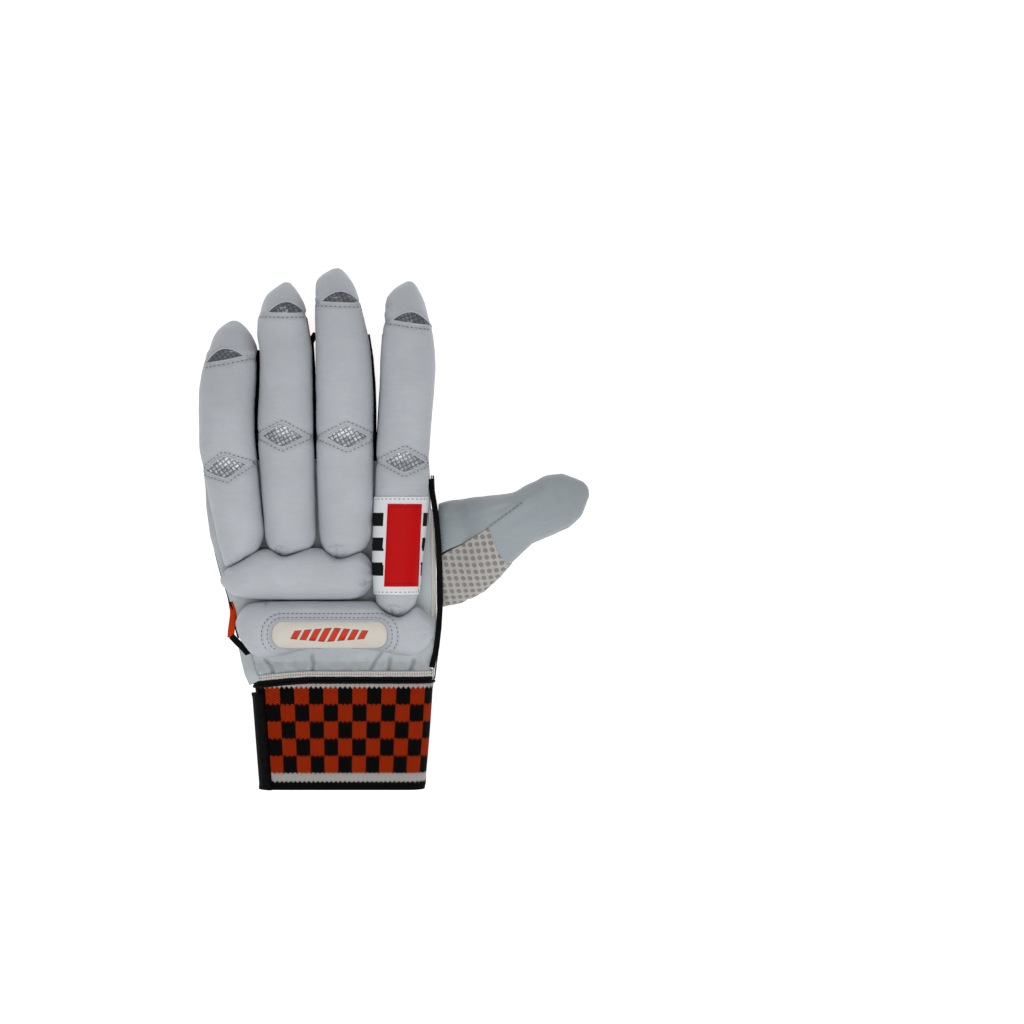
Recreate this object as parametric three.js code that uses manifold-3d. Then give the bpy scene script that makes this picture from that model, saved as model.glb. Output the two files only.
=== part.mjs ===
// A left-hand cricket batting glove lying palm down: padded rolls over a hollow leather
// hand, mesh side walls, a padded thumb, a knitted cuff and a wrist strap.
// Millimetres. +Z is up, +Y runs to the fingertips and +X to the thumb. The origin is on
// the flat face that the palm rests on.
import * as THREE from "three";
import { mergeVertices } from "three/addons/utils/BufferGeometryUtils.js";
import Module from "manifold-3d";

const wasm = await Module();
wasm.setup();

// Walls and clearances
const LEATHER = 1.2;
const MESH = 1.0;
const KNIT = 2.4;
const STRAP_WALL = 2.0;
const RUBBER = 1.2;
const PIPING_RADIUS = 1.9;
const INSET_WALL = 0.7;
const BADGE_WALL = 1.5;
const LABEL_WALL = 0.5;
const SEAM_GAP = 0.35;
const ROLL_SEAT = 0.5;
const SIDE_GAP = 0.7;

// Room inside and the padding over it
const HAND_ROOM = 14;
const FINGERTIP_ROOM = 11.5;
const FINGER_ARCH = 3.5;
const ROLL_THICKNESS = 21;
const KNUCKLE_ROLL_THICKNESS = 20;
const WRIST_ROLL_THICKNESS = 21;
const SEAM_DIP = 1.5;
const SEAM_REACH = 7;

// Places along the hand, measured from the origin
const WRIST = -64;
const GATHER_START = -50;
const VENT_TOP = -42;
const CROTCH = 53;
const ROLL_GAP = 0.4;
const ROW_GAP = 0.6;
const ROW_LEFT = -71;
const TUBE_SHORTFALL = 27.5; // how far a finger's palm leather stops short of the padded tip
const FLAP_SHORTFALL = 18.5;

// Across a finger, as shares of its roll's width
const PALM_SHARE = 0.36;
const BACK_SHARE = 0.43;
const CROTCH_SLOT = 5;
const CROTCH_LENGTH = 14;

const THUMB_LENGTH = 84;
const THUMB_WIDTH = 28;
const THUMB_HEIGHT = 30;
const THUMB_PADDING = 16;
const THUMB_ANGLE = THREE.MathUtils.degToRad(24);
const THUMB_ROOT = { x: 56.6, y: 3.5 };
const THUMB_MESH_END = 0.37;
const THUMB_MESH_SLANT = 0.17;
const THUMB_SEAM_LEAN = 0.135;
// The outer side strip bulges most at the wrist, with a puff above the vent.
const OUTER_BULGE = { wrist: 3.6, finger: 0.4, from: 5, puff: 3.2, at: -34, reach: 12 };
const PASSAGE = { from: -24, to: 30, lowest: 0.66 };

const CUFF_LENGTH = 58;
const CUFF_HALF_WIDTH = 47.5;
const CUFF_HEM_NARROWING = 4.5;
const CUFF_CENTRE = 4.2;
const CUFF_HEIGHT = 17;
const CUFF_SLIT = 7;
const STRAP_WIDTH = 51;
const STRAP_ROOT_X = -35;
const STRAP_TIP_X = 48;
const STRAP_CHAMFER = 10;
const BADGE = { x: -1.6, drop: 2.1, length: 60.6, width: 14, corner: 6.2 };
const LABEL = { left: 21.2, right: 54, bottom: -17.8, top: 33.4 };
const LABEL_PATCH = { x: 37, width: 19.4, bottom: -14, top: 30 };

// One row a finger, from the outer side to the thumb side: where its roll starts, is sewn
// through twice and ends, all measured along Y.
const FINGERS = [
  { name: "little", width: 30.4, heel: -3.4, knuckleSeam: 48.8, tipSeam: 106, tip: 127.8 },
  { name: "ring", width: 30.0, heel: 1.6, knuckleSeam: 65.2, tipSeam: 130.7, tip: 148.2 },
  { name: "middle", width: 31.2, heel: 0.4, knuckleSeam: 64.7, tipSeam: 136.2, tip: 155.8 },
  { name: "index", width: 31.0, heel: -30.4, knuckleSeam: 51.9, tipSeam: 125.4, tip: 149.0 },
];

// How far each finger's insets lie from the roll's middle line, towards the thumb.
const INSET_SHIFT = {
  little: { knuckle: -1.6, tip: -2.3 },
  ring: { knuckle: -0.9, tip: 3.5 },
  middle: { knuckle: 1.9, tip: 2.6 },
  index: { knuckle: 1.6, tip: 2.5 },
};
const KNUCKLE_INSET = { half: 11, rise: 5.9 };
const TIP_INSET = { half: 10.5, rise: 6 };

// The outline of each roll seen from above: at is the share of its length from heel to tip,
// left and right are shares of half its width.
const ROLL_EDGES = {
  little: [
    { at: 0.0, left: 0.5, right: 0.5 },
    { at: 0.042, left: 0.31, right: 0.82 },
    { at: 0.087, left: 0.32, right: 1.17 },
    { at: 0.147, left: 0.43, right: 1.24 },
    { at: 0.216, left: 0.56, right: 1.17 },
    { at: 0.31, left: 0.72, right: 1.09 },
    { at: 0.39, left: 0.86, right: 1.03 },
    { at: 0.47, left: 0.98, right: 0.96 },
    { at: 0.583, left: 1.0, right: 0.9 },
    { at: 0.716, left: 1.0, right: 0.94 },
    { at: 0.818, left: 0.84, right: 0.95 },
    { at: 0.882, left: 0.72, right: 0.92 },
    { at: 0.935, left: 0.66, right: 0.81 },
    { at: 1.0, left: 0.62, right: 0.74 },
  ],
  ring: [
    { at: 0.0, left: 0.77, right: 0.63 },
    { at: 0.039, left: 0.8, right: 1.05 },
    { at: 0.08, left: 0.74, right: 1.04 },
    { at: 0.158, left: 0.8, right: 1.03 },
    { at: 0.248, left: 0.87, right: 1.0 },
    { at: 0.336, left: 0.93, right: 0.98 },
    { at: 0.486, left: 0.99, right: 0.95 },
    { at: 0.62, left: 0.92, right: 0.92 },
    { at: 0.74, left: 0.93, right: 0.885 },
    { at: 0.8, left: 1.03, right: 0.8 },
    { at: 0.85, left: 1.04, right: 0.71 },
    { at: 0.906, left: 0.93, right: 0.6 },
    { at: 0.954, left: 0.85, right: 0.5 },
    { at: 1.0, left: 0.62, right: 0.48 },
  ],
  middle: [
    { at: 0.0, left: 0.95, right: 0.55 },
    { at: 0.021, left: 0.92, right: 0.75 },
    { at: 0.045, left: 0.86, right: 0.83 },
    { at: 0.0725, left: 0.86, right: 0.875 },
    { at: 0.157, left: 0.92, right: 0.93 },
    { at: 0.325, left: 0.955, right: 0.95 },
    { at: 0.58, left: 0.97, right: 0.955 },
    { at: 0.693, left: 0.985, right: 0.87 },
    { at: 0.75, left: 1.0, right: 0.787 },
    { at: 0.806, left: 1.03, right: 0.65 },
    { at: 0.863, left: 1.045, right: 0.505 },
    { at: 0.919, left: 1.06, right: 0.34 },
    { at: 0.959, left: 1.15, right: 0.29 },
    { at: 1.0, left: 1.06, right: 0.3 },
  ],
  index: [
    { at: 0.0, left: 0.92, right: 0.48 },
    { at: 0.034, left: 1.01, right: 0.41 },
    { at: 0.068, left: 1.02, right: 0.46 },
    { at: 0.112, left: 1.06, right: 0.52 },
    { at: 0.195, left: 1.075, right: 0.603 },
    { at: 0.308, left: 1.03, right: 0.757 },
    { at: 0.453, left: 0.98, right: 0.82 },
    { at: 0.576, left: 0.9, right: 0.914 },
    { at: 0.674, left: 0.843, right: 1.0 },
    { at: 0.7475, left: 0.833, right: 1.045 },
    { at: 0.821, left: 0.787, right: 0.97 },
    { at: 0.87, left: 0.72, right: 0.86 },
    { at: 0.919, left: 0.7, right: 0.69 },
    { at: 0.958, left: 0.68, right: 0.62 },
    { at: 1.0, left: 0.4, right: 0.62 },
  ],
};

// The top of a padded fingertip from its seam to its end, as shares of the seam's height.
const TIP_PROFILE = [
  { at: 0.0, top: 0.955 },
  { at: 0.1, top: 0.95 },
  { at: 0.35, top: 0.88 },
  { at: 0.6, top: 0.75 },
  { at: 0.8, top: 0.6 },
  { at: 1.0, top: 0.38 },
];

// The hand from the wrist to the crotch: at is the share of that length, and the edges are
// shares of half the cuff's width, for the palm leather and for the back leather.
const HAND_EDGES = [
  { at: 0.0, palmLeft: -0.6, palmRight: 0.965, backLeft: -1.0, backRight: 0.975 },
  { at: 0.1, palmLeft: -0.66, palmRight: 0.99, backLeft: -1.12, backRight: 1.0 },
  { at: 0.2, palmLeft: -0.88, palmRight: 1.02, backLeft: -1.16, backRight: 1.03 },
  { at: 0.3, palmLeft: -1.0, palmRight: 1.03, backLeft: -1.2, backRight: 1.04 },
  { at: 0.5, palmLeft: -1.11, palmRight: 1.015, backLeft: -1.37, backRight: 1.023 },
  { at: 0.8, palmLeft: -1.28, palmRight: 0.965, backLeft: -1.51, backRight: 0.973 },
  { at: 1.0, palmLeft: -1.37, palmRight: 0.95, backLeft: -1.49, backRight: 0.958 },
];

// The two rolls across the back: at is the share of the length from the outer side, up and
// down are the edges as shares of the roll's width, and high is the share of its thickness.
const KNUCKLE_ROLL = { left: -60.8, right: 21.4, middle: -7.2, width: 29 };
const KNUCKLE_EDGES = [
  { at: 0.0, up: 0.1, down: 0.36, high: 0.75 },
  { at: 0.1, up: 0.25, down: 0.42, high: 0.9 },
  { at: 0.25, up: 0.44, down: 0.46, high: 1 },
  { at: 0.5, up: 0.48, down: 0.475, high: 1 },
  { at: 0.9, up: 0.46, down: 0.465, high: 1 },
  { at: 1.0, up: 0.4, down: 0.42, high: 0.95 },
];
const WRIST_ROLL = { left: -52.4, right: 52.8, width: 30 };
const WRIST_EDGES = [
  { at: 0.0, up: 0.46, down: 0.3, high: 0.8 },
  { at: 0.14, up: 0.47, down: 0.54, high: 0.95 },
  { at: 0.32, up: 0.48, down: 0.39, high: 1 },
  { at: 0.5, up: 0.48, down: 0.31, high: 1 },
  { at: 0.7, up: 0.48, down: 0.38, high: 1 },
  { at: 0.87, up: 0.46, down: 0.49, high: 0.95 },
  { at: 1.0, up: 0.3, down: 0.4, high: 0.8 },
];

// The thumb from its root to its tip: the edges as shares of the thumb's width, the crown
// as a share of its height and the floor as a share of its padding.
const THUMB_SECTIONS = [
  { at: 0.0, low: -0.96, high: 0.86, crown: 0.38, floor: 0.06 },
  { at: 0.12, low: -1.02, high: 0.82, crown: 0.62, floor: 0.2 },
  { at: 0.25, low: -0.98, high: 0.74, crown: 0.84, floor: 0.56 },
  { at: 0.42, low: -0.7, high: 0.58, crown: 1.0, floor: 0.96 },
  { at: 0.58, low: -0.52, high: 0.5, crown: 1.02, floor: 1.0 },
  { at: 0.75, low: -0.56, high: 0.56, crown: 0.98, floor: 1.0 },
  { at: 0.9, low: -0.44, high: 0.46, crown: 0.86, floor: 0.95 },
  { at: 1.0, low: -0.14, high: 0.16, crown: 0.66, floor: 0.86 },
];
const THUMB_PADS = [
  { name: "thumb_base_pad", from: 0.16, to: 0.44 },
  { name: "thumb_middle_pad", from: 0.44, to: 0.68 },
  { name: "thumb_tip_pad", from: 0.68, to: 1.0 },
];

const RING_SIDES = 14;
const HAND_STOPS = [0, 0.06, 0.13, 0.25, 0.38, 0.52, 0.68, 0.84, 1];
const HAND_ROWS = HAND_STOPS.length - 1;
const FINGER_ROWS = 6;
const FINGER_COLUMNS = 4;
const PLEATS = 9;
const PLEAT_DEPTH = 1.0;
const EDGE_RISE = 1.2;
const EDGE_DROP = 2.4;

const FLOOR = 0;
const HAND_BACK = 2 * LEATHER + HAND_ROOM;
const STRAP_BOTTOM = RUBBER + SEAM_GAP;
const CUFF_BOTTOM = STRAP_BOTTOM + STRAP_WALL + SEAM_GAP;
const CUFF_MIDDLE = CUFF_BOTTOM + CUFF_HEIGHT / 2;

const point = (x, y, z) => new THREE.Vector3(x, y, z);
const mix = (a, b, share) => a + (b - a) * share;
const clamp = (value, low = 0, high = 1) => Math.min(high, Math.max(low, value));
const ease = (share) => clamp(share) ** 2 * (3 - 2 * clamp(share));
const shares = (count) => Array.from({ length: count + 1 }, (_, k) => k / count);

// A column of a table at a place between its rows, on a smooth curve through them.
function read(rows, column, at) {
  const last = rows.length - 1;
  let k = 0;
  while (k < last - 1 && at > rows[k + 1].at) k += 1;
  const slope = (i) => {
    const before = rows[Math.max(i - 1, 0)];
    const after = rows[Math.min(i + 1, last)];
    return (after[column] - before[column]) / (after.at - before.at);
  };
  const [a, b] = [rows[k], rows[k + 1]];
  const span = b.at - a.at;
  const t = clamp((at - a.at) / span);
  const [t2, t3] = [t * t, t * t * t];
  return (
    (2 * t3 - 3 * t2 + 1) * a[column] +
    (t3 - 2 * t2 + t) * span * slope(k) +
    (3 * t2 - 2 * t3) * b[column] +
    (t3 - t2) * span * slope(k + 1)
  );
}

// A closed geometry from points and triangles, turned so that its faces point outwards.
function closed(points, faces) {
  const volume = faces.reduce(
    (sum, [a, b, c]) => sum + points[a].dot(points[b].clone().cross(points[c])),
    0,
  );
  const index = faces.flatMap(([a, b, c]) => (volume < 0 ? [a, c, b] : [a, b, c]));
  return new THREE.BufferGeometry().setFromPoints(points).setIndex(index);
}

// A closed body through rings of equally many points, each end closed on its middle point.
function loft(rings) {
  const sides = rings[0].length;
  const points = rings.flat();
  const faces = [];
  for (let r = 0; r + 1 < rings.length; r += 1) {
    for (let s = 0; s < sides; s += 1) {
      const [a, b] = [r * sides + s, r * sides + ((s + 1) % sides)];
      faces.push([a, b, b + sides], [a, b + sides, a + sides]);
    }
  }
  const close = (ring, start, turn) => {
    const middle = points.length;
    points.push(ring.reduce((sum, p) => sum.add(p), point(0, 0, 0)).divideScalar(sides));
    for (let s = 0; s < sides; s += 1) {
      const [a, b] = [start + s, start + ((s + 1) % sides)];
      faces.push(turn ? [b, a, middle] : [a, b, middle]);
    }
  };
  close(rings[0], 0, true);
  close(rings.at(-1), (rings.length - 1) * sides, false);
  return closed(points, faces);
}

// A closed wall over a grid of cells: face(i, j) gives the points of its two faces, and
// present(i, j) leaves cells out.
function wall(columns, rows, face, present = () => true) {
  const points = [];
  const placed = new Map();
  const faces = [];
  const at = (i, j, side) => {
    const key = `${i},${j},${side}`;
    if (!placed.has(key)) {
      placed.set(key, points.length);
      points.push(face(i, j)[side]);
    }
    return placed.get(key);
  };
  const there = (i, j) => i >= 0 && j >= 0 && i < columns && j < rows && present(i, j);
  const rim = (a, b) => {
    const [p, q, r, s] = [at(...a, 0), at(...b, 0), at(...b, 1), at(...a, 1)];
    faces.push([p, q, r], [p, r, s]);
  };
  for (let i = 0; i < columns; i += 1) {
    for (let j = 0; j < rows; j += 1) {
      if (!there(i, j)) continue;
      const corners = [[i, j], [i + 1, j], [i + 1, j + 1], [i, j + 1]];
      const [a, b, c, d] = corners.map((corner) => at(...corner, 0));
      const [e, f, g, h] = corners.map((corner) => at(...corner, 1));
      faces.push([a, c, b], [a, d, c], [e, f, g], [e, g, h]);
      if (!there(i, j - 1)) rim(corners[0], corners[1]);
      if (!there(i + 1, j)) rim(corners[1], corners[2]);
      if (!there(i, j + 1)) rim(corners[2], corners[3]);
      if (!there(i - 1, j)) rim(corners[3], corners[0]);
    }
  }
  return closed(points, faces);
}

function toSolid(geometry) {
  const bare = new THREE.BufferGeometry().setAttribute(
    "position",
    geometry.getAttribute("position"),
  );
  if (geometry.index) bare.setIndex(geometry.index);
  const merged = mergeVertices(bare, 1e-4);
  return new wasm.Manifold(
    new wasm.Mesh({
      numProp: 3,
      vertProperties: merged.attributes.position.array,
      triVerts: new Uint32Array(merged.index.array),
    }),
  );
}

function toGeometry(solid) {
  const { vertProperties, triVerts } = solid.getMesh();
  return new THREE.BufferGeometry()
    .setAttribute("position", new THREE.BufferAttribute(vertProperties, 3))
    .setIndex(new THREE.BufferAttribute(triVerts, 1));
}

// A ring of a padded roll in the plane across it: round over the top, flatter beneath.
function rollRing(place, low, high, bottom, top) {
  const ring = [];
  for (let s = 0; s < RING_SIDES; s += 1) {
    const angle = (2 * Math.PI * s) / RING_SIDES;
    const [c, h] = [Math.cos(angle), Math.sin(angle)];
    const power = h < 0 ? 0.62 : 0.86;
    const across = Math.sign(c) * Math.abs(c) ** power;
    const up = Math.sign(h) * Math.abs(h) ** power;
    ring.push(place(mix(low, high, (1 + across) / 2), mix(bottom, top, (1 + up) / 2)));
  }
  return ring;
}

// How far a rounded end has opened at a distance from its very end.
const rounding = (distance, radius) =>
  Math.max(0.06, 1 - (1 - clamp(distance / radius)) ** 2) ** 0.6;

// Fingers. Each roll's centre line follows from the widths of the ones beside it.
FINGERS.forEach((finger, k) => {
  const before = k ? FINGERS[k - 1] : null;
  finger.left = before ? before.left + before.width + ROLL_GAP : ROW_LEFT;
  finger.centre = finger.left + finger.width / 2;
  finger.length = finger.tip - finger.heel;
  finger.tubeEnd = finger.tip - TUBE_SHORTFALL;
  finger.flapEnd = finger.tip - FLAP_SHORTFALL;
});

// The middle of a roll's outline at a place along it, and its width as a share of the whole.
const outlineAt = (finger, side, y) =>
  read(ROLL_EDGES[finger.name], side, clamp((y - finger.heel) / finger.length));
const fingerMiddle = (finger, y) =>
  finger.centre + (finger.width / 4) * (outlineAt(finger, "right", y) - outlineAt(finger, "left", y));
const fullness = (finger, y) =>
  (outlineAt(finger, "right", y) + outlineAt(finger, "left", y)) / 2;

function rollEdges(finger, y, grow = 0) {
  const half = finger.width / 2;
  const left = finger.centre - half * outlineAt(finger, "left", y);
  const right = finger.centre + half * outlineAt(finger, "right", y);
  const middle = (left + right) / 2;
  const open = Math.min(rounding(y - finger.heel, 12), rounding(finger.tip - y, 15));
  return {
    left: mix(middle, left, open) - grow,
    right: mix(middle, right, open) + grow,
  };
}

const tubeShare = (finger, y) => clamp((y - CROTCH) / (finger.tubeEnd - CROTCH));
const palmHeight = (finger, y) => FLOOR + FINGER_ARCH * Math.sin(Math.PI * tubeShare(finger, y));
const backHeight = (finger, y) =>
  palmHeight(finger, y) + mix(HAND_BACK, FINGERTIP_ROOM + 2 * LEATHER, tubeShare(finger, y));

function rollHeights(finger, y) {
  const at = (y - finger.heel) / finger.length;
  const swell = mix(0.9, 1, ease(at / 0.25)) * mix(1, 0.92, ease((at - 0.6) / 0.4));
  const bottom = backHeight(finger, y) + ROLL_SEAT;
  const thickness = ROLL_THICKNESS * swell;
  const open = rounding(y - finger.heel, 13);
  const middle = bottom + thickness * 0.42;
  return {
    bottom: mix(middle, bottom, open),
    top: mix(middle, bottom + thickness, open),
  };
}

const dip = (y, seam) => SEAM_DIP * clamp(1 - Math.abs(y - seam) / SEAM_REACH) ** 1.5;

// The body of a roll between two places, with or without its sewn dips, grown all round.
function rollBody(finger, from, to, stops, { grow = 0, dips = true } = {}) {
  const rings = stops.map((share) => {
    const y = mix(from, to, share);
    const { left, right } = rollEdges(finger, y, grow);
    const { bottom, top } = rollHeights(finger, y);
    const sewn = dips ? dip(y, finger.knuckleSeam) + dip(y, finger.tipSeam) : 0;
    const pinch = sewn * 0.25;
    const place = (x, z) => point(x, y, z);
    return rollRing(place, left + pinch, right - pinch, bottom - grow, top - sewn + grow);
  });
  return loft(rings);
}

const TIP_RISE = 0.16; // of the seam's height, at the very end
const HEEL_STOPS = [0.004, 0.035, 0.09, 0.18, 0.36, 0.6, 0.82, 0.93, 1];
const MIDDLE_STOPS = [0, 0.07, 0.2, 0.36, 0.52, 0.68, 0.84, 0.94, 1];
const TIP_STOPS = [0.1, 0.26, 0.45, 0.64, 0.8, 0.92, 0.985];

// The padded fingertip comes down to the floor past the end of the finger's leather.
function tipBody(finger, grow = 0) {
  const start = finger.tipSeam + SEAM_GAP / 2;
  const closing = Math.max(0, (finger.flapEnd + SEAM_GAP - start) / (finger.tip - start));
  const seamTop = rollHeights(finger, start).top;
  const lead = closing > 0 ? [0, closing] : [0];
  const rest = TIP_STOPS.map((share) => mix(closing, 1, share));
  const rings = [...lead, ...rest].map((share) => {
    const y = mix(start, finger.tip, share);
    const { left, right } = rollEdges(finger, y, grow);
    const top = seamTop * read(TIP_PROFILE, "top", share) + grow;
    const raised = FLOOR + seamTop * TIP_RISE * ease((share - 0.75) / 0.25);
    const bottom = share > closing ? raised : backHeight(finger, y) + ROLL_SEAT - grow;
    const pinch = share === 0 ? 0.5 : 0;
    return rollRing((x, z) => point(x, y, z), left + pinch, right - pinch, bottom, top);
  });
  return loft(rings);
}

// A thin cover over a roll inside an outline seen from above, with an opening if asked.
function veneer(outline, depth, under, over, opening = null) {
  const flat = (points) => points.map(([x, y]) => new THREE.Vector2(x, y));
  const shape = new THREE.Shape(flat(outline));
  if (opening) shape.holes.push(new THREE.Path(flat(opening)));
  const prism = new THREE.ExtrudeGeometry(shape, { depth: 60, bevelEnabled: false });
  prism.translate(0, 0, depth);
  return toGeometry(toSolid(prism).intersect(toSolid(over).subtract(toSolid(under))));
}

// A lens with two points, such as the insets at the finger joints.
function lensOutline(x, y, halfLength, up, down) {
  const turns = shares(6);
  const arc = (side, height) =>
    turns.map((t) => [x + side * halfLength * (1 - 2 * t), y + side * height * Math.sin(Math.PI * t)]);
  return [...arc(1, up), ...arc(-1, down).slice(1, -1)];
}

function rollCover(finger, outline, thickness, rows, opening) {
  const places = outline.map(([, y]) => y);
  const [from, to] = [Math.min(...places) - 3, Math.max(...places) + 3];
  const body = (grow) => rollBody(finger, from, to, shares(rows), { grow, dips: false });
  const depth = HAND_BACK + ROLL_THICKNESS / 2;
  return veneer(outline, depth, body(SEAM_GAP), body(SEAM_GAP + thickness), opening);
}

// The crescent on a fingertip sits against the tip seam and swells towards the tip.
function tipInset(finger) {
  const x = fingerMiddle(finger, finger.tipSeam) + INSET_SHIFT[finger.name].tip;
  const { half, rise } = TIP_INSET;
  const outline = lensOutline(x, finger.tipSeam + 2 * SEAM_GAP, half, rise, 0).slice(0, 7);
  const depth = FINGERTIP_ROOM + ROLL_THICKNESS / 2;
  return veneer(outline, depth, tipBody(finger, SEAM_GAP), tipBody(finger, SEAM_GAP + INSET_WALL));
}

const roundedRectangle = ({ x, y, length, width, corner }) =>
  [[1, 1, 0], [-1, 1, 1], [-1, -1, 2], [1, -1, 3]].flatMap(([right, up, quarter]) =>
    shares(3).map((share) => {
      const angle = ((quarter + share) * Math.PI) / 2;
      return [
        x + right * (length / 2 - corner) + corner * Math.cos(angle),
        y + up * (width / 2 - corner) + corner * Math.sin(angle),
      ];
    }),
  );

// The tube of each finger: its palm and back leather, at a share from one side to the other.
const crotchWidth = (finger) => finger.width + ROLL_GAP - CROTCH_SLOT;
function halfTube(finger, y, share) {
  const open = ease((y - CROTCH) / CROTCH_LENGTH);
  return mix(crotchWidth(finger) / 2, finger.width * share * fullness(finger, y), open);
}

const COLUMNS = FINGERS.length * (FINGER_COLUMNS + 1) - 1;
const columnFinger = (i) => FINGERS[Math.min(FINGERS.length - 1, Math.floor(i / (FINGER_COLUMNS + 1)))];
const columnShare = (i) => ((i % (FINGER_COLUMNS + 1)) / FINGER_COLUMNS) * 2 - 1;
const isSlot = (i) => i % (FINGER_COLUMNS + 1) === FINGER_COLUMNS;
const handShare = (y) => clamp((y - WRIST) / (CROTCH - WRIST));
const handEdge = (side, y) => CUFF_CENTRE + CUFF_HALF_WIDTH * read(HAND_EDGES, side, handShare(y));

// Where a column of the hand's grid crosses a height along the hand.
function gridX(i, y, layer) {
  const share = layer === "palm" ? PALM_SHARE : BACK_SHARE;
  const acrossFinger = (column, place) => {
    const finger = columnFinger(column);
    return fingerMiddle(finger, place) + columnShare(column) * halfTube(finger, place, share);
  };
  if (y >= CROTCH) return acrossFinger(i, y);
  const [first, last] = [acrossFinger(0, CROTCH), acrossFinger(COLUMNS, CROTCH)];
  const across = (acrossFinger(i, CROTCH) - first) / (last - first);
  const left = mix(handEdge(`${layer}Left`, y), first, ease((handShare(y) - 0.8) / 0.2));
  const right = mix(handEdge(`${layer}Right`, y), last, ease((handShare(y) - 0.8) / 0.2));
  return mix(left, right, across);
}

const edgeShare = (i) => Math.max(0, Math.abs((2 * i) / COLUMNS - 1) - 0.9) / 0.1;
const pleat = (across, strength) =>
  PLEAT_DEPTH * strength * (0.5 + 0.5 * Math.sin(2 * Math.PI * PLEATS * across));

function palmZ(i, y) {
  const rise = EDGE_RISE * (y > CROTCH ? Math.abs(columnShare(i)) ** 4 : edgeShare(i) ** 2);
  const toCuff = 1 - ease((y - WRIST) / 14);
  const gather = toCuff * (CUFF_BOTTOM + pleat(i / COLUMNS, 1) * toCuff);
  return palmHeight(columnFinger(i), y) + rise + gather;
}

function backZ(i, y) {
  const drop = EDGE_DROP * (y > CROTCH ? Math.abs(columnShare(i)) ** 4 * 0.5 : edgeShare(i) ** 2);
  return backHeight(columnFinger(i), y) - drop;
}

const palmPoint = (i, y) => point(gridX(i, y, "palm"), y, palmZ(i, y));
const backPoint = (i, y) => point(gridX(i, y, "back"), y, backZ(i, y));
const lifted = (p, height) => point(p.x, p.y, p.z + height);

const ROWS = HAND_ROWS + FINGER_ROWS;
function rowY(i, j, start, reach) {
  if (j <= HAND_ROWS) return mix(start, CROTCH, HAND_STOPS[j]);
  return mix(CROTCH, reach(columnFinger(i)), (j - HAND_ROWS) / FINGER_ROWS);
}
const inHand = (i, j) => j < HAND_ROWS || !isSlot(i);

// The reinforcing patch sits in the palm below the index finger.
const PATCH = { first: 14, last: 17, from: 3, to: 7 };
const inPatch = (i, j) =>
  i >= PATCH.first && i <= PATCH.last && j >= PATCH.from && j < PATCH.to;

function palmPanel() {
  const start = WRIST + SEAM_GAP;
  const face = (i, j) => {
    const outer = palmPoint(i, rowY(i, j, start, (finger) => finger.tubeEnd));
    return [outer, lifted(outer, LEATHER)];
  };
  return wall(COLUMNS, ROWS, face, (i, j) => inHand(i, j) && !inPatch(i, j));
}

function palmPatch() {
  const start = WRIST + SEAM_GAP;
  const columns = PATCH.last + 1 - PATCH.first;
  const rows = PATCH.to - PATCH.from;
  const yAt = (j) => rowY(PATCH.first, j, start, (finger) => finger.tubeEnd);
  const face = (i, j) => {
    const y = clamp(yAt(PATCH.from + j), yAt(PATCH.from) + SEAM_GAP, yAt(PATCH.to) - SEAM_GAP);
    const outer = palmPoint(PATCH.first + i, y);
    const inset = i === 0 ? SEAM_GAP : i === columns ? -SEAM_GAP : 0;
    outer.x += inset;
    return [outer, lifted(outer, LEATHER)];
  };
  return wall(columns, rows, face);
}

function backPanel() {
  const face = (i, j) => {
    const outer = backPoint(i, rowY(i, j, GATHER_START + SEAM_GAP, (finger) => finger.flapEnd));
    return [outer, lifted(outer, -LEATHER)];
  };
  return wall(COLUMNS, ROWS, face, inHand);
}

// The leather flap that closes the underside of a fingertip.
function tipFlap(finger, k) {
  const first = k * (FINGER_COLUMNS + 1);
  const face = (i, j) => {
    const outer = palmPoint(first + i, mix(finger.tubeEnd + SEAM_GAP, finger.flapEnd, j / 2));
    return [outer, lifted(outer, LEATHER)];
  };
  return wall(FINGER_COLUMNS, 2, face);
}

// The cuff's section is a flat oval. It is walked by the share of the way round from the
// middle of its left side, over the top and back beneath.
const SIDE_TURN = 0.062;
const SIDE_STEPS = 3;
const FLAT_STEPS = 6;
function cuffSection(share, y, grow) {
  const way = ((share % 1) + 1) % 1;
  const near = Math.min(way, 1 - way);
  const radius = CUFF_HEIGHT / 2;
  const narrowed = CUFF_HEM_NARROWING * clamp((WRIST - y) / CUFF_LENGTH);
  const half = CUFF_HALF_WIDTH - narrowed - radius;
  const flat = clamp((near - SIDE_TURN) / (0.5 - 2 * SIDE_TURN));
  const leftTurn = clamp(near / SIDE_TURN);
  const rightTurn = clamp((near - 0.5 + SIDE_TURN) / SIDE_TURN);
  const angle = (Math.PI / 2) * (2 - leftTurn - rightTurn);
  const x = CUFF_CENTRE + mix(-half, half, flat) + (radius + grow) * Math.cos(angle);
  const z = (radius + grow) * Math.sin(angle);
  return point(x, y, CUFF_MIDDLE + (way < 0.5 ? z : -z));
}

// The places to bend a sheet that is laid round the cuff from one share to another.
function cuffBends(from, to) {
  const half = [
    ...shares(SIDE_STEPS).map((share) => SIDE_TURN * share),
    ...shares(FLAT_STEPS).map((share) => mix(SIDE_TURN, 0.5 - SIDE_TURN, share)),
    ...shares(SIDE_STEPS).map((share) => 0.5 - SIDE_TURN * (1 - share)),
  ];
  const bends = [-1, -0.5, 0, 0.5, 1].flatMap((turn) => half.map((share) => share + turn));
  const inside = bends.filter((share) => share > from + 0.004 && share < to - 0.004);
  const sorted = [...inside].sort((a, b) => a - b);
  const separate = sorted.filter((share, k) => k === 0 || share - sorted[k - 1] > 1e-6);
  return [from, ...separate, to];
}

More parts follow.
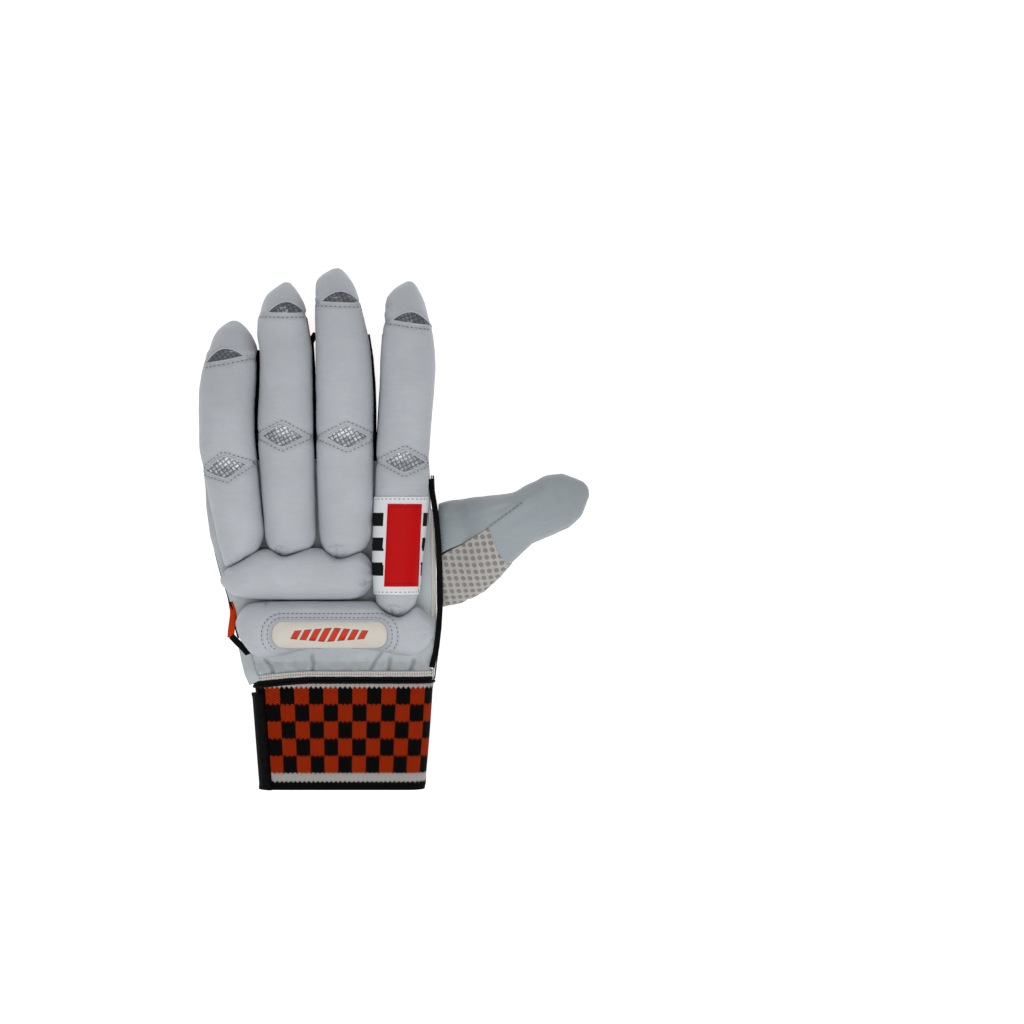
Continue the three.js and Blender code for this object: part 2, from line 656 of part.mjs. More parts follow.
// The shares at which the section's top and underside pass a place across the cuff.
const topShare = (x) => {
  const half = CUFF_HALF_WIDTH - CUFF_HEIGHT / 2;
  return mix(SIDE_TURN, 0.5 - SIDE_TURN, clamp((x - CUFF_CENTRE + half) / (2 * half)));
};
const underShare = (x) => 1 - topShare(x);

function cuff() {
  const slit = underShare(CUFF_CENTRE - CUFF_HALF_WIDTH + CUFF_HEIGHT / 2 + CUFF_SLIT + 2);
  const bends = cuffBends(slit + CUFF_SLIT / (4 * CUFF_HALF_WIDTH) - 1, slit);
  const face = (i, j) => {
    const y = mix(WRIST - SEAM_GAP, WRIST - CUFF_LENGTH, j / 3);
    return [cuffSection(bends[i], y, 0), cuffSection(bends[i], y, -KNIT)];
  };
  return wall(bends.length - 1, 3, face);
}

// The strap is sewn on at the back's outer edge and runs round the side and under the cuff.
function strap() {
  const low = WRIST - CUFF_LENGTH;
  const tipShare = underShare(STRAP_TIP_X) - 1;
  const bends = cuffBends(tipShare, topShare(STRAP_ROOT_X));
  const face = (i, j) => {
    const chamfer = STRAP_CHAMFER * (i === 0 ? 1 : 0);
    const y = mix(low + chamfer, low + STRAP_WIDTH - chamfer, j / 3);
    return [
      cuffSection(bends[i], y, SEAM_GAP + STRAP_WALL),
      cuffSection(bends[i], y, SEAM_GAP),
    ];
  };
  return wall(bends.length - 1, 3, face);
}

// The moulded patch under the strap has two rows of slanted slots.
function strapPatch() {
  const [columns, rows] = [15, 5];
  const [left, right] = [STRAP_TIP_X - 72, STRAP_TIP_X - 9];
  const low = WRIST - CUFF_LENGTH + 7;
  const high = low + STRAP_WIDTH - 14;
  const levels = [0, 0.12, 0.45, 0.55, 0.88, 1];
  const face = (i, j) => {
    const y = mix(low, high, levels[j]);
    const x = mix(left, right, i / columns) + 5 * (levels[j] - 0.5);
    return [point(x, y, FLOOR), point(x, y, FLOOR + RUBBER)];
  };
  const slot = (i, j) => i % 2 === 1 && i < columns - 1 && (j === 1 || j === 3);
  return wall(columns, rows, face, (i, j) => !slot(i, j));
}

// The gathered leather between the wrist roll and the cuff.
const GATHER_STEPS = 36;
const GATHER_ROWS = [0, 0.33, 0.67, 1];
const GATHER_LEFT = SIDE_TURN * 0.4;
const GATHER_RIGHT = 0.5 - SIDE_TURN * 0.4;
function gatherPoint(across, down) {
  const y = mix(GATHER_START - SEAM_GAP, WRIST + SEAM_GAP, down);
  const atCuff = cuffSection(mix(GATHER_LEFT, GATHER_RIGHT, across), y, 0);
  const x = mix(gridX(0, GATHER_START, "back"), gridX(COLUMNS, GATHER_START, "back"), across);
  const height = HAND_BACK - EDGE_DROP * Math.abs(2 * across - 1) ** 8;
  const outer = point(x, y, height).lerp(atCuff, ease(down));
  outer.z += pleat(across, Math.sin(Math.PI * clamp(down * 0.9)));
  return outer;
}

function wristGather() {
  const face = (i, j) => {
    const across = i / GATHER_STEPS;
    const outer = gatherPoint(across, GATHER_ROWS[j]);
    const edge = Math.abs(2 * across - 1) ** 8 * ease(GATHER_ROWS[j]);
    const inward = point(-Math.sign(2 * across - 1) * 1.2 * edge, 0, -1).normalize();
    return [outer, outer.clone().addScaledVector(inward, LEATHER)];
  };
  return wall(GATHER_STEPS, GATHER_ROWS.length - 1, face);
}

// The back's outer edge on either side, down to the cuff.
function backEdge(column, y) {
  if (y >= GATHER_START) return backPoint(column, y);
  const down = clamp((GATHER_START - SEAM_GAP - y) / (GATHER_START - WRIST - 2 * SEAM_GAP));
  return gatherPoint(column === 0 ? 0 : 1, down);
}

// A side wall between the edges of the palm and back leather. Its limits are shares of the
// way up, bulge(y) swells it and lowest(y) raises its lower limit.
function sideWall(column, [from, to], [start, end], rows, bulge, lowest = () => 0) {
  const side = column % (FINGER_COLUMNS + 1) === 0 ? -1 : 1;
  const face = (i, j) => {
    const y = mix(from, to, j / rows);
    const share = mix(Math.max(start, lowest(y)), end, i / 2);
    const [low, high] = [palmPoint(column, y), backEdge(column, y)];
    const offset = side * (SIDE_GAP + bulge(y) * Math.sin(Math.PI * share));
    const z = mix(low.z + 0.1, high.z - 0.1, share);
    const x = mix(low.x, high.x, share) + offset;
    return [point(x + side * MESH, y, z), point(x, y, z)];
  };
  return wall(2, rows, face);
}

// The wall between two fingers runs down one side, round the crotch and up the other.
const FOURCHETTE_ROWS = 7;
function fourchette(left, right, k) {
  const column = k * (FINGER_COLUMNS + 1) + FINGER_COLUMNS;
  const steps = 2 * FOURCHETTE_ROWS + 1;
  const face = (i, j) => {
    const onLeft = i <= FOURCHETTE_ROWS;
    const finger = onLeft ? left : right;
    const side = onLeft ? 1 : -1;
    const away = (onLeft ? FOURCHETTE_ROWS - i : i - FOURCHETTE_ROWS - 1) / FOURCHETTE_ROWS;
    const y = mix(CROTCH + SEAM_GAP, finger.flapEnd, away ** 1.3);
    const [low, high] = [palmPoint, backPoint].map((edge) => edge(column + (onLeft ? 0 : 1), y));
    const inner = point(
      mix(low.x, high.x, j / 2) + side * SIDE_GAP,
      y,
      mix(low.z + 0.1, high.z - 0.1, j / 2),
    );
    const outer = inner.clone().add(point(side * MESH, away === 0 ? MESH : 0, 0));
    return [outer, inner];
  };
  return wall(steps, 2, face);
}

// The wrist roll lies a gap behind the knuckle roll.
WRIST_ROLL.middle =
  KNUCKLE_ROLL.middle - 0.475 * KNUCKLE_ROLL.width - ROW_GAP - 0.48 * WRIST_ROLL.width;
BADGE.y = WRIST_ROLL.middle - BADGE.drop;

// The rolls across the back, lofted along X.
function crossRoll(roll, edges, thickness, stops, grow = 0) {
  const base = HAND_BACK + ROLL_SEAT;
  const rings = stops.map((share) => {
    const x = mix(roll.left, roll.right, share);
    const open = Math.min(rounding(x - roll.left, 11), rounding(roll.right - x, 11));
    const up = roll.width * read(edges, "up", share);
    const down = roll.width * read(edges, "down", share);
    const middle = (up - down) / 2;
    const centre = base + thickness * 0.42;
    const top = base + thickness * read(edges, "high", share);
    return rollRing(
      (y, z) => point(x, y, z),
      roll.middle + mix(middle, -down, open) - grow,
      roll.middle + mix(middle, up, open) + grow,
      mix(centre, base, open) - grow,
      mix(centre, top, open) + grow,
    );
  });
  return loft(rings);
}

const END_STOPS = [0.003, 0.03, 0.08];
const crossStops = (count) => [
  ...END_STOPS,
  ...shares(count).map((share) => mix(0.14, 0.86, share)),
  ...END_STOPS.map((share) => 1 - share).reverse(),
];

// A finger's heel lies over the roll behind it: a dent of its own shape, grown by the seam
// gap, that opens straight upwards.
function press(finger) {
  const [from, to, grow] = [finger.heel - SEAM_GAP, finger.knuckleSeam, SEAM_GAP * 1.4];
  const places = [from, ...HEEL_STOPS.map((share) => mix(finger.heel, to - SEAM_GAP / 2, share))];
  const stops = places.map((y) => (y - from) / (to - from));
  const body = rollBody(finger, from, to, stops, { grow });
  const edges = places.map((y) => ({ y, ...rollEdges(finger, y, grow) }));
  const outline = [
    ...edges.map(({ left, y }) => new THREE.Vector2(left, y)),
    ...edges.reverse().map(({ right, y }) => new THREE.Vector2(right, y)),
  ];
  const shaft = new THREE.ExtrudeGeometry(new THREE.Shape(outline), {
    depth: ROLL_THICKNESS,
    bevelEnabled: false,
  });
  shaft.translate(0, 0, HAND_BACK + ROLL_SEAT + ROLL_THICKNESS * 0.46);
  return toSolid(body).add(toSolid(shaft));
}

function dented(geometry, fingers) {
  const solid = toSolid(geometry);
  return toGeometry(fingers.reduce((rest, finger) => rest.subtract(press(finger)), solid));
}

// The thumb, in its own frame: x along it and y across it towards the fingers. Its root is
// cut square to the hand's side.
const ROOT_SKEW = Math.tan(THUMB_ANGLE);
const FLOOR_LIFT = 0.4;
const thumbAt = (column, at) => read(THUMB_SECTIONS, column, clamp(at));
const thumbX = (at, y, start = 0) =>
  mix(start, THUMB_LENGTH, at) + (1 - clamp(at)) ** 2 * ROOT_SKEW * y;

function thumbShell(at, turn, grow) {
  const low = THUMB_WIDTH * thumbAt("low", at) - grow;
  const high = THUMB_WIDTH * thumbAt("high", at) + grow;
  const base = THUMB_PADDING * thumbAt("floor", at) + FLOOR_LIFT;
  const crown = THUMB_HEIGHT * thumbAt("crown", at) + grow;
  const leaned = turn + THUMB_SEAM_LEAN * Math.min(at, 0.5) * Math.sin(Math.PI * turn);
  const angle = Math.PI * (1 - leaned);
  const across = Math.sign(Math.cos(angle)) * Math.abs(Math.cos(angle)) ** 0.7;
  const y = mix(low, high, (1 + across) / 2);
  return point(thumbX(at, y), y, mix(base, crown, Math.abs(Math.sin(angle)) ** 0.8));
}

const THUMB_STOPS = [0, 0.1, 0.22, 0.32, THUMB_MESH_END, 0.56, 0.68, 0.8, 0.9, 0.96, 1];
const THUMB_TURNS = 12;
const MESH_TURNS = 6;
const MESH_ROWS = 4;
const thumbRows = THUMB_STOPS.length;
const meshSlant = (turn) => THUMB_MESH_SLANT * (0.25 - Math.min(turn, 0.5));
const thumbStop = (j, turn) => THUMB_STOPS[j] + (j === MESH_ROWS ? meshSlant(turn) : 0);

// The leather covers the finger side and the end, and closes over the tip.
function thumbLeather() {
  const face = (i, j) => {
    const turn = i / THUMB_TURNS;
    const at = thumbStop(Math.min(j, thumbRows - 1), turn);
    const pair = [thumbShell(at, turn, 0), thumbShell(at, turn, -LEATHER)];
    if (j < thumbRows) return pair;
    const middle = thumbShell(1, 0, 0).add(thumbShell(1, 1, 0)).multiplyScalar(0.5);
    middle.z += 1.2;
    return pair.map((p, side) => {
      const end = p.lerp(middle, 0.8);
      end.x = middle.x + LEATHER * (1 - side);
      return end;
    });
  };
  const present = (i, j) => i >= MESH_TURNS || j >= MESH_ROWS;
  return wall(THUMB_TURNS, thumbRows, face, present);
}

function thumbMesh() {
  const face = (i, j) => {
    const turn = (i / MESH_TURNS) * (MESH_TURNS / THUMB_TURNS - 0.008);
    const at = thumbStop(j, turn) - (j === MESH_ROWS ? SEAM_GAP / THUMB_LENGTH : 0);
    return [thumbShell(at, turn, 0), thumbShell(at, turn, -LEATHER)];
  };
  return wall(MESH_TURNS, MESH_ROWS, face);
}

function thumbFloor() {
  const palmSide = gridX(COLUMNS, PASSAGE.from, "palm") + SIDE_GAP;
  const rootX = (palmSide - THUMB_ROOT.x) / Math.cos(THUMB_ANGLE);
  const face = (i, j) => {
    const at = THUMB_STOPS[j] * 0.97;
    const inset = LEATHER + SIDE_GAP + 2.5 * (1 - ease(at / 0.3));
    const low = THUMB_WIDTH * thumbAt("low", at) + inset;
    const high = THUMB_WIDTH * thumbAt("high", at) - inset;
    const y = mix(low, high, i / 4);
    const z = THUMB_PADDING * thumbAt("floor", at);
    return [point(thumbX(at, y, rootX), y, z), point(thumbX(at, y, rootX), y, z + LEATHER)];
  };
  return wall(4, THUMB_STOPS.length - 1, face);
}

function thumbPad({ from, to }) {
  const length = (to - from) * THUMB_LENGTH;
  const stops = [0.01, 0.08, 0.22, 0.5, 0.78, 0.92, 0.99];
  const rings = stops.map((share) => {
    const at = mix(from, to, share);
    const last = to === 1 ? 20 : 9;
    const open = Math.min(rounding(share * length + 1, 10), rounding((1 - share) * length + 1, last));
    const [low, high] = [thumbAt("low", at), thumbAt("high", at)];
    const middle = (THUMB_WIDTH * (low + high)) / 2;
    const half = Math.min((THUMB_WIDTH * (high - low)) / 2, THUMB_WIDTH * 0.56) * mix(0.6, 1, open);
    const top = THUMB_PADDING * thumbAt("floor", at) - 2 * SIDE_GAP;
    const depth = (top - FLOOR) * mix(0.5, 1, open);
    const x = mix(0, THUMB_LENGTH, at) + (1 - at) ** 2 * ROOT_SKEW * middle;
    return rollRing((y, z) => point(x, y, top - z), middle - half, middle + half, 0, depth);
  });
  return loft(rings);
}

// White piping round the vent, which opens between the palm's edge and the back's edge.
function ventPiping() {
  const clear = PIPING_RADIUS + 1.1;
  const top = VENT_TOP - clear;
  const bottom = WRIST + clear;
  const palmSide = shares(4).map((share) => {
    const edge = palmPoint(0, mix(bottom, top - 5, share));
    return point(edge.x - clear, edge.y, edge.z + LEATHER);
  });
  const backSide = shares(4).map((share) => {
    const edge = backEdge(0, mix(top - 5, bottom, share));
    return point(edge.x + 1.5, edge.y, edge.z - LEATHER - clear);
  });
  const crown = palmSide.at(-1).clone().lerp(backSide[0], 0.5).setY(top);
  const curve = new THREE.CatmullRomCurve3([...palmSide, crown, ...backSide]);
  const rings = shares(16).map((share) => {
    const centre = curve.getPoint(share);
    const across = curve.getTangent(share).cross(point(0, 0, 1)).normalize();
    const up = across.clone().cross(curve.getTangent(share));
    return shares(7).map((side) => {
      const angle = (2 * Math.PI * side * 7) / 8;
      return centre
        .clone()
        .addScaledVector(across, PIPING_RADIUS * Math.cos(angle))
        .addScaledVector(up, PIPING_RADIUS * Math.sin(angle));
    });
  });
  return loft(rings);
}

const COLOURS = {
  leather: { color: 0xc9ced0, roughness: 0.55 },
  roll: { color: 0xc4c9cc, roughness: 0.5 },
  mesh: { color: 0xd6421a, roughness: 0.85 },
  binding: { color: 0x141414, roughness: 0.9 },
  white_mesh: { color: 0xd9d7d4, roughness: 0.85 },
  weave: { color: 0x77797e, roughness: 0.35 },
  badge: { color: 0xece8df, roughness: 0.15 },
  label_white: { color: 0xf1f1f1, roughness: 0.4 },
  label_red: { color: 0xc4120e, roughness: 0.4 },
  knit: { color: 0xd24a14, roughness: 0.95 },
  strap: { color: 0x17191b, roughness: 0.7 },
  rubber: { color: 0xc23f12, roughness: 0.5 },
};

const glove = new THREE.Group();
const thumb = new THREE.Group();
thumb.position.set(THUMB_ROOT.x, THUMB_ROOT.y, 0);
thumb.rotation.z = THUMB_ANGLE;
glove.add(thumb);

function add(name, geometry, finish, parent = glove) {
  const material = new THREE.MeshStandardMaterial({ ...COLOURS[finish], metalness: 0 });
  const mesh = new THREE.Mesh(geometry, material);
  mesh.name = name;
  parent.add(mesh);
}

FINGERS.forEach((finger, k) => {
  const { name, heel, knuckleSeam, tipSeam } = finger;
  const half = SEAM_GAP / 2;
  const lensX = fingerMiddle(finger, knuckleSeam) + INSET_SHIFT[name].knuckle;
  add(`${name}_heel_roll`, rollBody(finger, heel, knuckleSeam - half, HEEL_STOPS), "roll");
  const middleRoll = rollBody(finger, knuckleSeam + half, tipSeam - half, MIDDLE_STOPS);
  add(`${name}_middle_roll`, middleRoll, "roll");
  add(`${name}_tip_roll`, tipBody(finger), "roll");
  add(`${name}_tip_flap`, tipFlap(finger, k), "leather");
  const { half: reach, rise } = KNUCKLE_INSET;
  const lens = lensOutline(lensX, knuckleSeam, reach, rise, rise);
  add(`${name}_knuckle_inset`, rollCover(finger, lens, INSET_WALL, 4), "weave");
  add(`${name}_tip_inset`, tipInset(finger), "weave");
});

const index = FINGERS[3];
const knuckleRoll = crossRoll(KNUCKLE_ROLL, KNUCKLE_EDGES, KNUCKLE_ROLL_THICKNESS, crossStops(5));
add("knuckle_roll", dented(knuckleRoll, FINGERS), "roll");
const wristRoll = (grow) =>
  crossRoll(WRIST_ROLL, WRIST_EDGES, WRIST_ROLL_THICKNESS, crossStops(8), grow);
add("wrist_roll", dented(wristRoll(0), [index]), "roll");
const badgeDepth = HAND_BACK + WRIST_ROLL_THICKNESS / 2;
const badgeOver = wristRoll(SEAM_GAP + BADGE_WALL);
add("badge", veneer(roundedRectangle(BADGE), badgeDepth, wristRoll(SEAM_GAP), badgeOver), "badge");

const box = (left, right, bottom, top) => [[left, bottom], [right, bottom], [right, top], [left, top]];
const band = box(LABEL.left, LABEL.right, LABEL.bottom, LABEL.top);
const patch = (inset) =>
  box(
    LABEL_PATCH.x - LABEL_PATCH.width / 2 + inset,
    LABEL_PATCH.x + LABEL_PATCH.width / 2 - inset,
    LABEL_PATCH.bottom + inset,
    LABEL_PATCH.top - inset,
  );
add("label_band", rollCover(index, band, LABEL_WALL, 8, patch(0).reverse()), "label_white");
add("label_patch", rollCover(index, patch(SEAM_GAP), LABEL_WALL, 8), "label_red");

add("palm_panel", palmPanel(), "leather");
add("palm_patch", palmPatch(), "leather");
add("back_panel", backPanel(), "leather");
add("wrist_gather", wristGather(), "leather");

const little = FINGERS[0];
const outerRun = [VENT_TOP, little.flapEnd];
const bandGap = 0.03;
const outerBulge = (y) => {
  const { wrist, finger: tip, from, puff, at, reach } = OUTER_BULGE;
  return mix(wrist, tip, ease((y - from) / (CROTCH - from))) + puff * Math.exp(-(((y - at) / reach) ** 2));
};
const outer = (limits) => sideWall(0, outerRun, limits, 14, outerBulge);
add("outer_palm_binding", outer([0, 0.32]), "binding");
add("outer_mesh", outer([0.32 + bandGap, 0.68 - bandGap]), "mesh");
add("outer_back_binding", outer([0.68, 1]), "binding");

const overPassage = (y) => {
  const middle = (PASSAGE.from + PASSAGE.to) / 2;
  const half = (PASSAGE.to - PASSAGE.from) / 2;
  return PASSAGE.lowest * (1 - clamp(Math.abs(y - middle) / half) ** 4) ** 0.5;
};
const innerRun = [WRIST + SEAM_GAP, CROTCH - 8];
const inner = (limits) => sideWall(COLUMNS, innerRun, limits, 16, () => 1.2, overPassage);
add("inner_binding", inner([0, 0.84]), "binding");
add("inner_webbing", inner([0.84 + bandGap, 1]), "white_mesh");
const indexRun = [CROTCH - 8 + SEAM_GAP, index.flapEnd];
add("index_side", sideWall(COLUMNS, indexRun, [0, 1], 9, () => 0.8), "mesh");

FINGERS.slice(1).forEach((finger, k) => {
  const wallBetween = fourchette(FINGERS[k], finger, k);
  add(`gusset_${FINGERS[k].name}_${finger.name}`, wallBetween, "mesh");
});

add("vent_piping", ventPiping(), "label_white");
add("cuff", cuff(), "knit");
add("strap", strap(), "strap");
add("strap_patch", strapPatch(), "rubber");

add("thumb_leather", thumbLeather(), "leather", thumb);
add("thumb_mesh", thumbMesh(), "white_mesh", thumb);
add("thumb_floor", thumbFloor(), "leather", thumb);
THUMB_PADS.forEach((pad) => add(pad.name, thumbPad(pad), "roll", thumb));

export default glove;
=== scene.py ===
"""A left-hand cricket batting glove lying palm down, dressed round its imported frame.

Metres. +Z is up, +Y runs to the fingertips and +X to the thumb. Each piece takes its place
from the frame's nodes, and sizes that belong to the finish are named here.
"""
import math

import bmesh
import bpy
import numpy as np
from bpy.props import FloatProperty, FloatVectorProperty, IntProperty, PointerProperty
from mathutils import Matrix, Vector, geometry, noise
from mathutils.bvhtree import BVHTree


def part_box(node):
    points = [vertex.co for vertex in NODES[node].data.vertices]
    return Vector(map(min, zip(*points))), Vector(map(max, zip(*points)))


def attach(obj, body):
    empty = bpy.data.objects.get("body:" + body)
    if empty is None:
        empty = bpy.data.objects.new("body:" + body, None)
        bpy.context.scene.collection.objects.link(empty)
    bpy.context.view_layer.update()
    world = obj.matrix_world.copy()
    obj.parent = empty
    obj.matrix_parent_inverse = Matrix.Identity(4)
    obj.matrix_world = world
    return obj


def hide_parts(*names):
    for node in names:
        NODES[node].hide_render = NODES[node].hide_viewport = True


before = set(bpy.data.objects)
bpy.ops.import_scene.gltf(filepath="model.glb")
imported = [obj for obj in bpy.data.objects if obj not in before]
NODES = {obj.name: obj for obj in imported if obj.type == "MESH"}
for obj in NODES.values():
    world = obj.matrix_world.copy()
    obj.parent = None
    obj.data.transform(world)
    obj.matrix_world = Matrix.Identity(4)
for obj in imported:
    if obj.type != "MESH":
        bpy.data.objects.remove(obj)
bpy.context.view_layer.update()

bl_info = {
    "name": "Cricket batting glove",
    "version": (1, 0, 0),
    "blender": (4, 5, 0),
    "location": "3D View > Sidebar > Glove",
    "description": "Builds the covers, weaves, stitches and stage of a batting glove",
    "category": "Object",
}

MM = 0.001
DOWN = Vector((0, 0, -1))
ABOVE = 0.1
FINGERS = ("little", "ring", "middle", "index")
ROLL_PARTS = ("heel_roll", "middle_roll", "tip_roll")

# Tapes on the finger walls: how far they stand into the gaps and end below the tips
TAPE_OUT = 0.4 * MM
TAPE_STOP = 17.0 * MM
TAPE_SPLAY = (75.0 * MM, 30.0 * MM)
TAPE_LEAN = 0.35
# The binding along the edges of the side walls, and what the strips of the back lie on
TAPED_EDGES = {
    "outer_palm_tape": "outer_palm_binding",
    "outer_back_tape": "outer_back_binding",
    "inner_tape": "inner_binding",
}
STRIP_BED = ("inner_web", "inner_tape", "back_leather", "gathered_leather", "outer_back_tape", "outer_net")

# The index finger's wall is tucked behind its roll from this height up
NET_TUCK = 2.6 * MM
NET_TUCK_START = 30.0 * MM

# Windows: their turn in plan in degrees, the seam's distance and the rim's and weave's heights
WINDOW_TILT = {"little": 9.0, "ring": -2.0, "middle": 1.0, "index": -2.0}
TIP_TILT = {"little": 11.0, "ring": 0.0, "middle": -2.0, "index": -8.0}
WINDOW_MARGIN = 2.3 * MM
WINDOW_RIM = 0.35 * MM
WEAVE_LIFT = 0.15 * MM
WEAVE_WALL = 0.45 * MM
WEAVE_TILE = 2.1
WEAVE_TURN = 28.0
LIP_REACH = 5.0 * MM
TIP_SHIFT = 1.4 * MM
TIP_SEAM_DROP = 2.0 * MM
SEAM_POINTS = 17

# The badge: its dome and edge, its sewn rings and how far under it they stop, and its row
# of slanted bars in millimetres
BADGE_DOME = 1.0 * MM
BADGE_EDGE = 0.75 * MM
BADGE_RINGS = (2.4 * MM, 5.4 * MM)
RING_DROP = 1.4 * MM
MARK_HALF_PITCH = 2.5
MARK_SLANT = -0.55
MARK_HEIGHT = 3.9
MARK_TAPER = 0.085
MARK_REACH = 20.2
MARK_GAP = 0.62
MARK_LINE = 0.28

# Where each heel is drawn together across the hand, and its creases, in millimetres
HEEL_PINCH = {"little": -53.0, "ring": -28.6, "middle": 1.4, "index": 31.0}
HEEL_CREASES = {
    "little": (),
    "ring": (((-30.8, 4.4), (-29.4, 7.2), (-27.1, 6.7), (-28.8, 4.9), (-28.5, 2.6)),),
    "middle": (((-2.5, 6.7), (1.2, 7.6), (4.8, 6.9)), ((1.3, 7.2), (1.6, 1.2))),
    "index": (((28.0, -24.8), (30.8, -23.9), (34.9, -24.8)), ((30.3, -25.7), (30.8, -28.9))),
}
KNUCKLE_PINCHES = (
    ((14.5, -12.5), (16.5, -13.2), (18.0, -12.0), (20.5, -11.2)),
    ((17.0, -11.0), (18.0, -12.0)),
)
WRIST_PINCHES = (
    ((-49.5, -20.5), (-47.8, -21.6), (-48.6, -23.4)),
    ((45.0, -20.4), (46.4, -21.8)),
    ((-35.5, -22.6), (-35.2, -23.0)),
)
WRIST_CREASES = (
    ((-37.5, -52.5), (-34.0, -56.0), (-32.2, -62.0)),
    ((-12.5, -50.5), (-11.8, -55.0), (-12.3, -60.5)),
    ((24.5, -48.5), (21.0, -53.0), (19.0, -57.5)),
    ((29.0, -52.0), (28.4, -58.5)),
    ((41.5, -53.0), (39.8, -58.5)),
)
# The palm's vents in millimetres, and the shares of its patch at which it is sewn
VENTS = ((-2.6, 18.0), (10.6, 19.6), (-8.5, 7.4), (17.0, 9.5), (0.0, -3.2), (11.1, -0.5))
VENT_RADIUS = 1.2 * MM
PATCH_SEAMS = (0.95, 0.9)

# Strips that edge the back: places in plan, width and height above what is beneath
EDGE_STRIPS = (
    ("back_webbing", ((50.2, 27.0), (51.4, 12.0), (51.8, -4.0), (52.0, -18.0), (51.6, -30.0)), 3.0, 0.2,
     "cream_tape", "white_mesh"),
    ("back_edge_tape", ((50.4, 43.0), (51.6, 34.5), (53.7, 21.3), (54.8, 8.2), (55.2, -5.0), (55.6, -22.6),
                        (54.9, -35.8), (53.6, -47.2), (51.2, -57.0)), 3.0, 2.4, "black_tape", "binding"),
    ("outer_fold", ((-67.2, 46.0), (-66.4, 38.0), (-66.0, 28.0), (-63.9, 12.7), (-60.9, 2.7), (-57.8, -9.0),
                    (-54.7, -17.5), (-53.4, -21.5)), 6.0, 0.4, "palm_leather", "leather"),
    ("outer_flash", ((-54.6, -22.0), (-54.8, -30.0), (-55.6, -37.0), (-55.9, -41.5)), 3.6, 0.5,
     "orange_cord", "orange_mesh"),
    ("outer_corner_tape", ((-55.4, -40.6), (-52.6, -43.6), (-49.0, -47.0), (-45.8, -51.0)), 3.4, 0.6,
     "black_tape", "binding"),
    ("gather_fold", ((-49.0, -44.0), (-47.0, -53.0), (-44.9, -60.0), (-42.4, -65.0)), 6.6, 0.2,
     "palm_leather", "leather"),
)

# The label: its faces' heights over the roll, the panel's lean, and three bars a side
# measured in millimetres from the roll's crown
LABEL_LIFT = 0.62 * MM
PANEL_LIFT = 0.86 * MM
LABEL_WALL = 0.45 * MM
LABEL_SEAM = 1.2 * MM
LABEL_REACH = (math.radians(176), math.radians(4))
PANEL_LEAN = ((-0.6 * MM, 1.3 * MM), (-2.4 * MM, -0.2 * MM))
BAR_START = 10.6
BAR_PLACES = (21.5, 8.5, -4.5)
BAR_WIDTH = 7.0

# The cuff's bands down from its top edge and its checks in millimetres, and its wall
TOP_BAND = 4.0
CHECK_ROWS = 5
CHECK_HEIGHT = 9.1
CHECK_WIDTH = 7.45
HEM_BAND = 4.2
CHECK_START = -35.6
BAND_TOP = -63.8 * MM
GATHER_REACH = (0.0, 8.0 * MM, 1.0 * MM)
BAND_SLIP = 2.8 * MM
WALE = 2.48
CUFF_WALL = 2.4 * MM
RIB_HEIGHT = 0.09 * MM
CUFF_SLACK = 0.35 * MM

# The strap: its wall and its gap over the cuff, its rounded corners, its edge bead and the
# place across the hand where it is sewn on
STRAP_WALL = 1.6 * MM
STRAP_GAP = 0.45 * MM
STRAP_CORNER = (10 * MM, 12 * MM)
STRAP_BEAD = (0.35 * MM, 1.2 * MM)
STRAP_ROOT = -35.0 * MM
STRAP_FLOOR = 1.3 * MM

# The thumb: where it starts, how far its open end goes in, its net and its sewn seam
THUMB_ROOT = (56.6 * MM, 3.5 * MM)
THUMB_REACH = 2.4 * MM
NET_SPREAD = 1.035
THUMB_TUCK = ((80.8, 17.0), (90.0, 23.8), (98.6, 30.2))
THUMB_ANGLE = math.radians(24)
THUMB_DOT_PITCH = 3.7
THUMB_DOT_RADIUS = 1.2
NET_PITCH = 2.3
NET_HOLE = 0.72

# The view from straight above, in metres, and the camera's lens and sensor in millimetres
VIEW_WIDTH = 0.543
VIEW_CENTRE = (0.0938, 0.0254)
VIEW_RISE = 0.02
LENS = 85.0
SENSOR = 36.0

# The stage: the floor, the room's light, and each lamp's place, target, size and power
FLOOR_HALF = 3.0
FLOOR_LEVEL = -0.0002
FLOOR_GLOW = 0.8
WORLD_TINT = (0.94, 0.96, 1.0, 1)
WORLD_LIGHT = 0.33
LAMPS = {
    "key": ((0.05, -0.42, 0.95), (0, -0.05, 0), (0.9, 0.9), 7.0),
    "glint": ((0.0, 0.75, 0.8), (0, 0, 0), (0.4, 0.05), 1.3),
}


def linear(*shown):
    """A colour as shown, 0 to 255 a channel, in the light-proportional numbers shaders use."""
    return tuple(((c / 255 + 0.055) / 1.055) ** 2.4 if c > 10 else c / 255 / 12.92 for c in shown)


def colour(name, shown):
    return FloatVectorProperty(
        name=name, description=f"Colour of the {name.lower()}", subtype="COLOR", size=3,
        min=0.0, max=1.0, default=linear(*shown),
    )


def distance(name, description, size):
    return FloatProperty(
        name=name, description=description, default=size, min=0.0, unit="LENGTH",
        subtype="DISTANCE",
    )


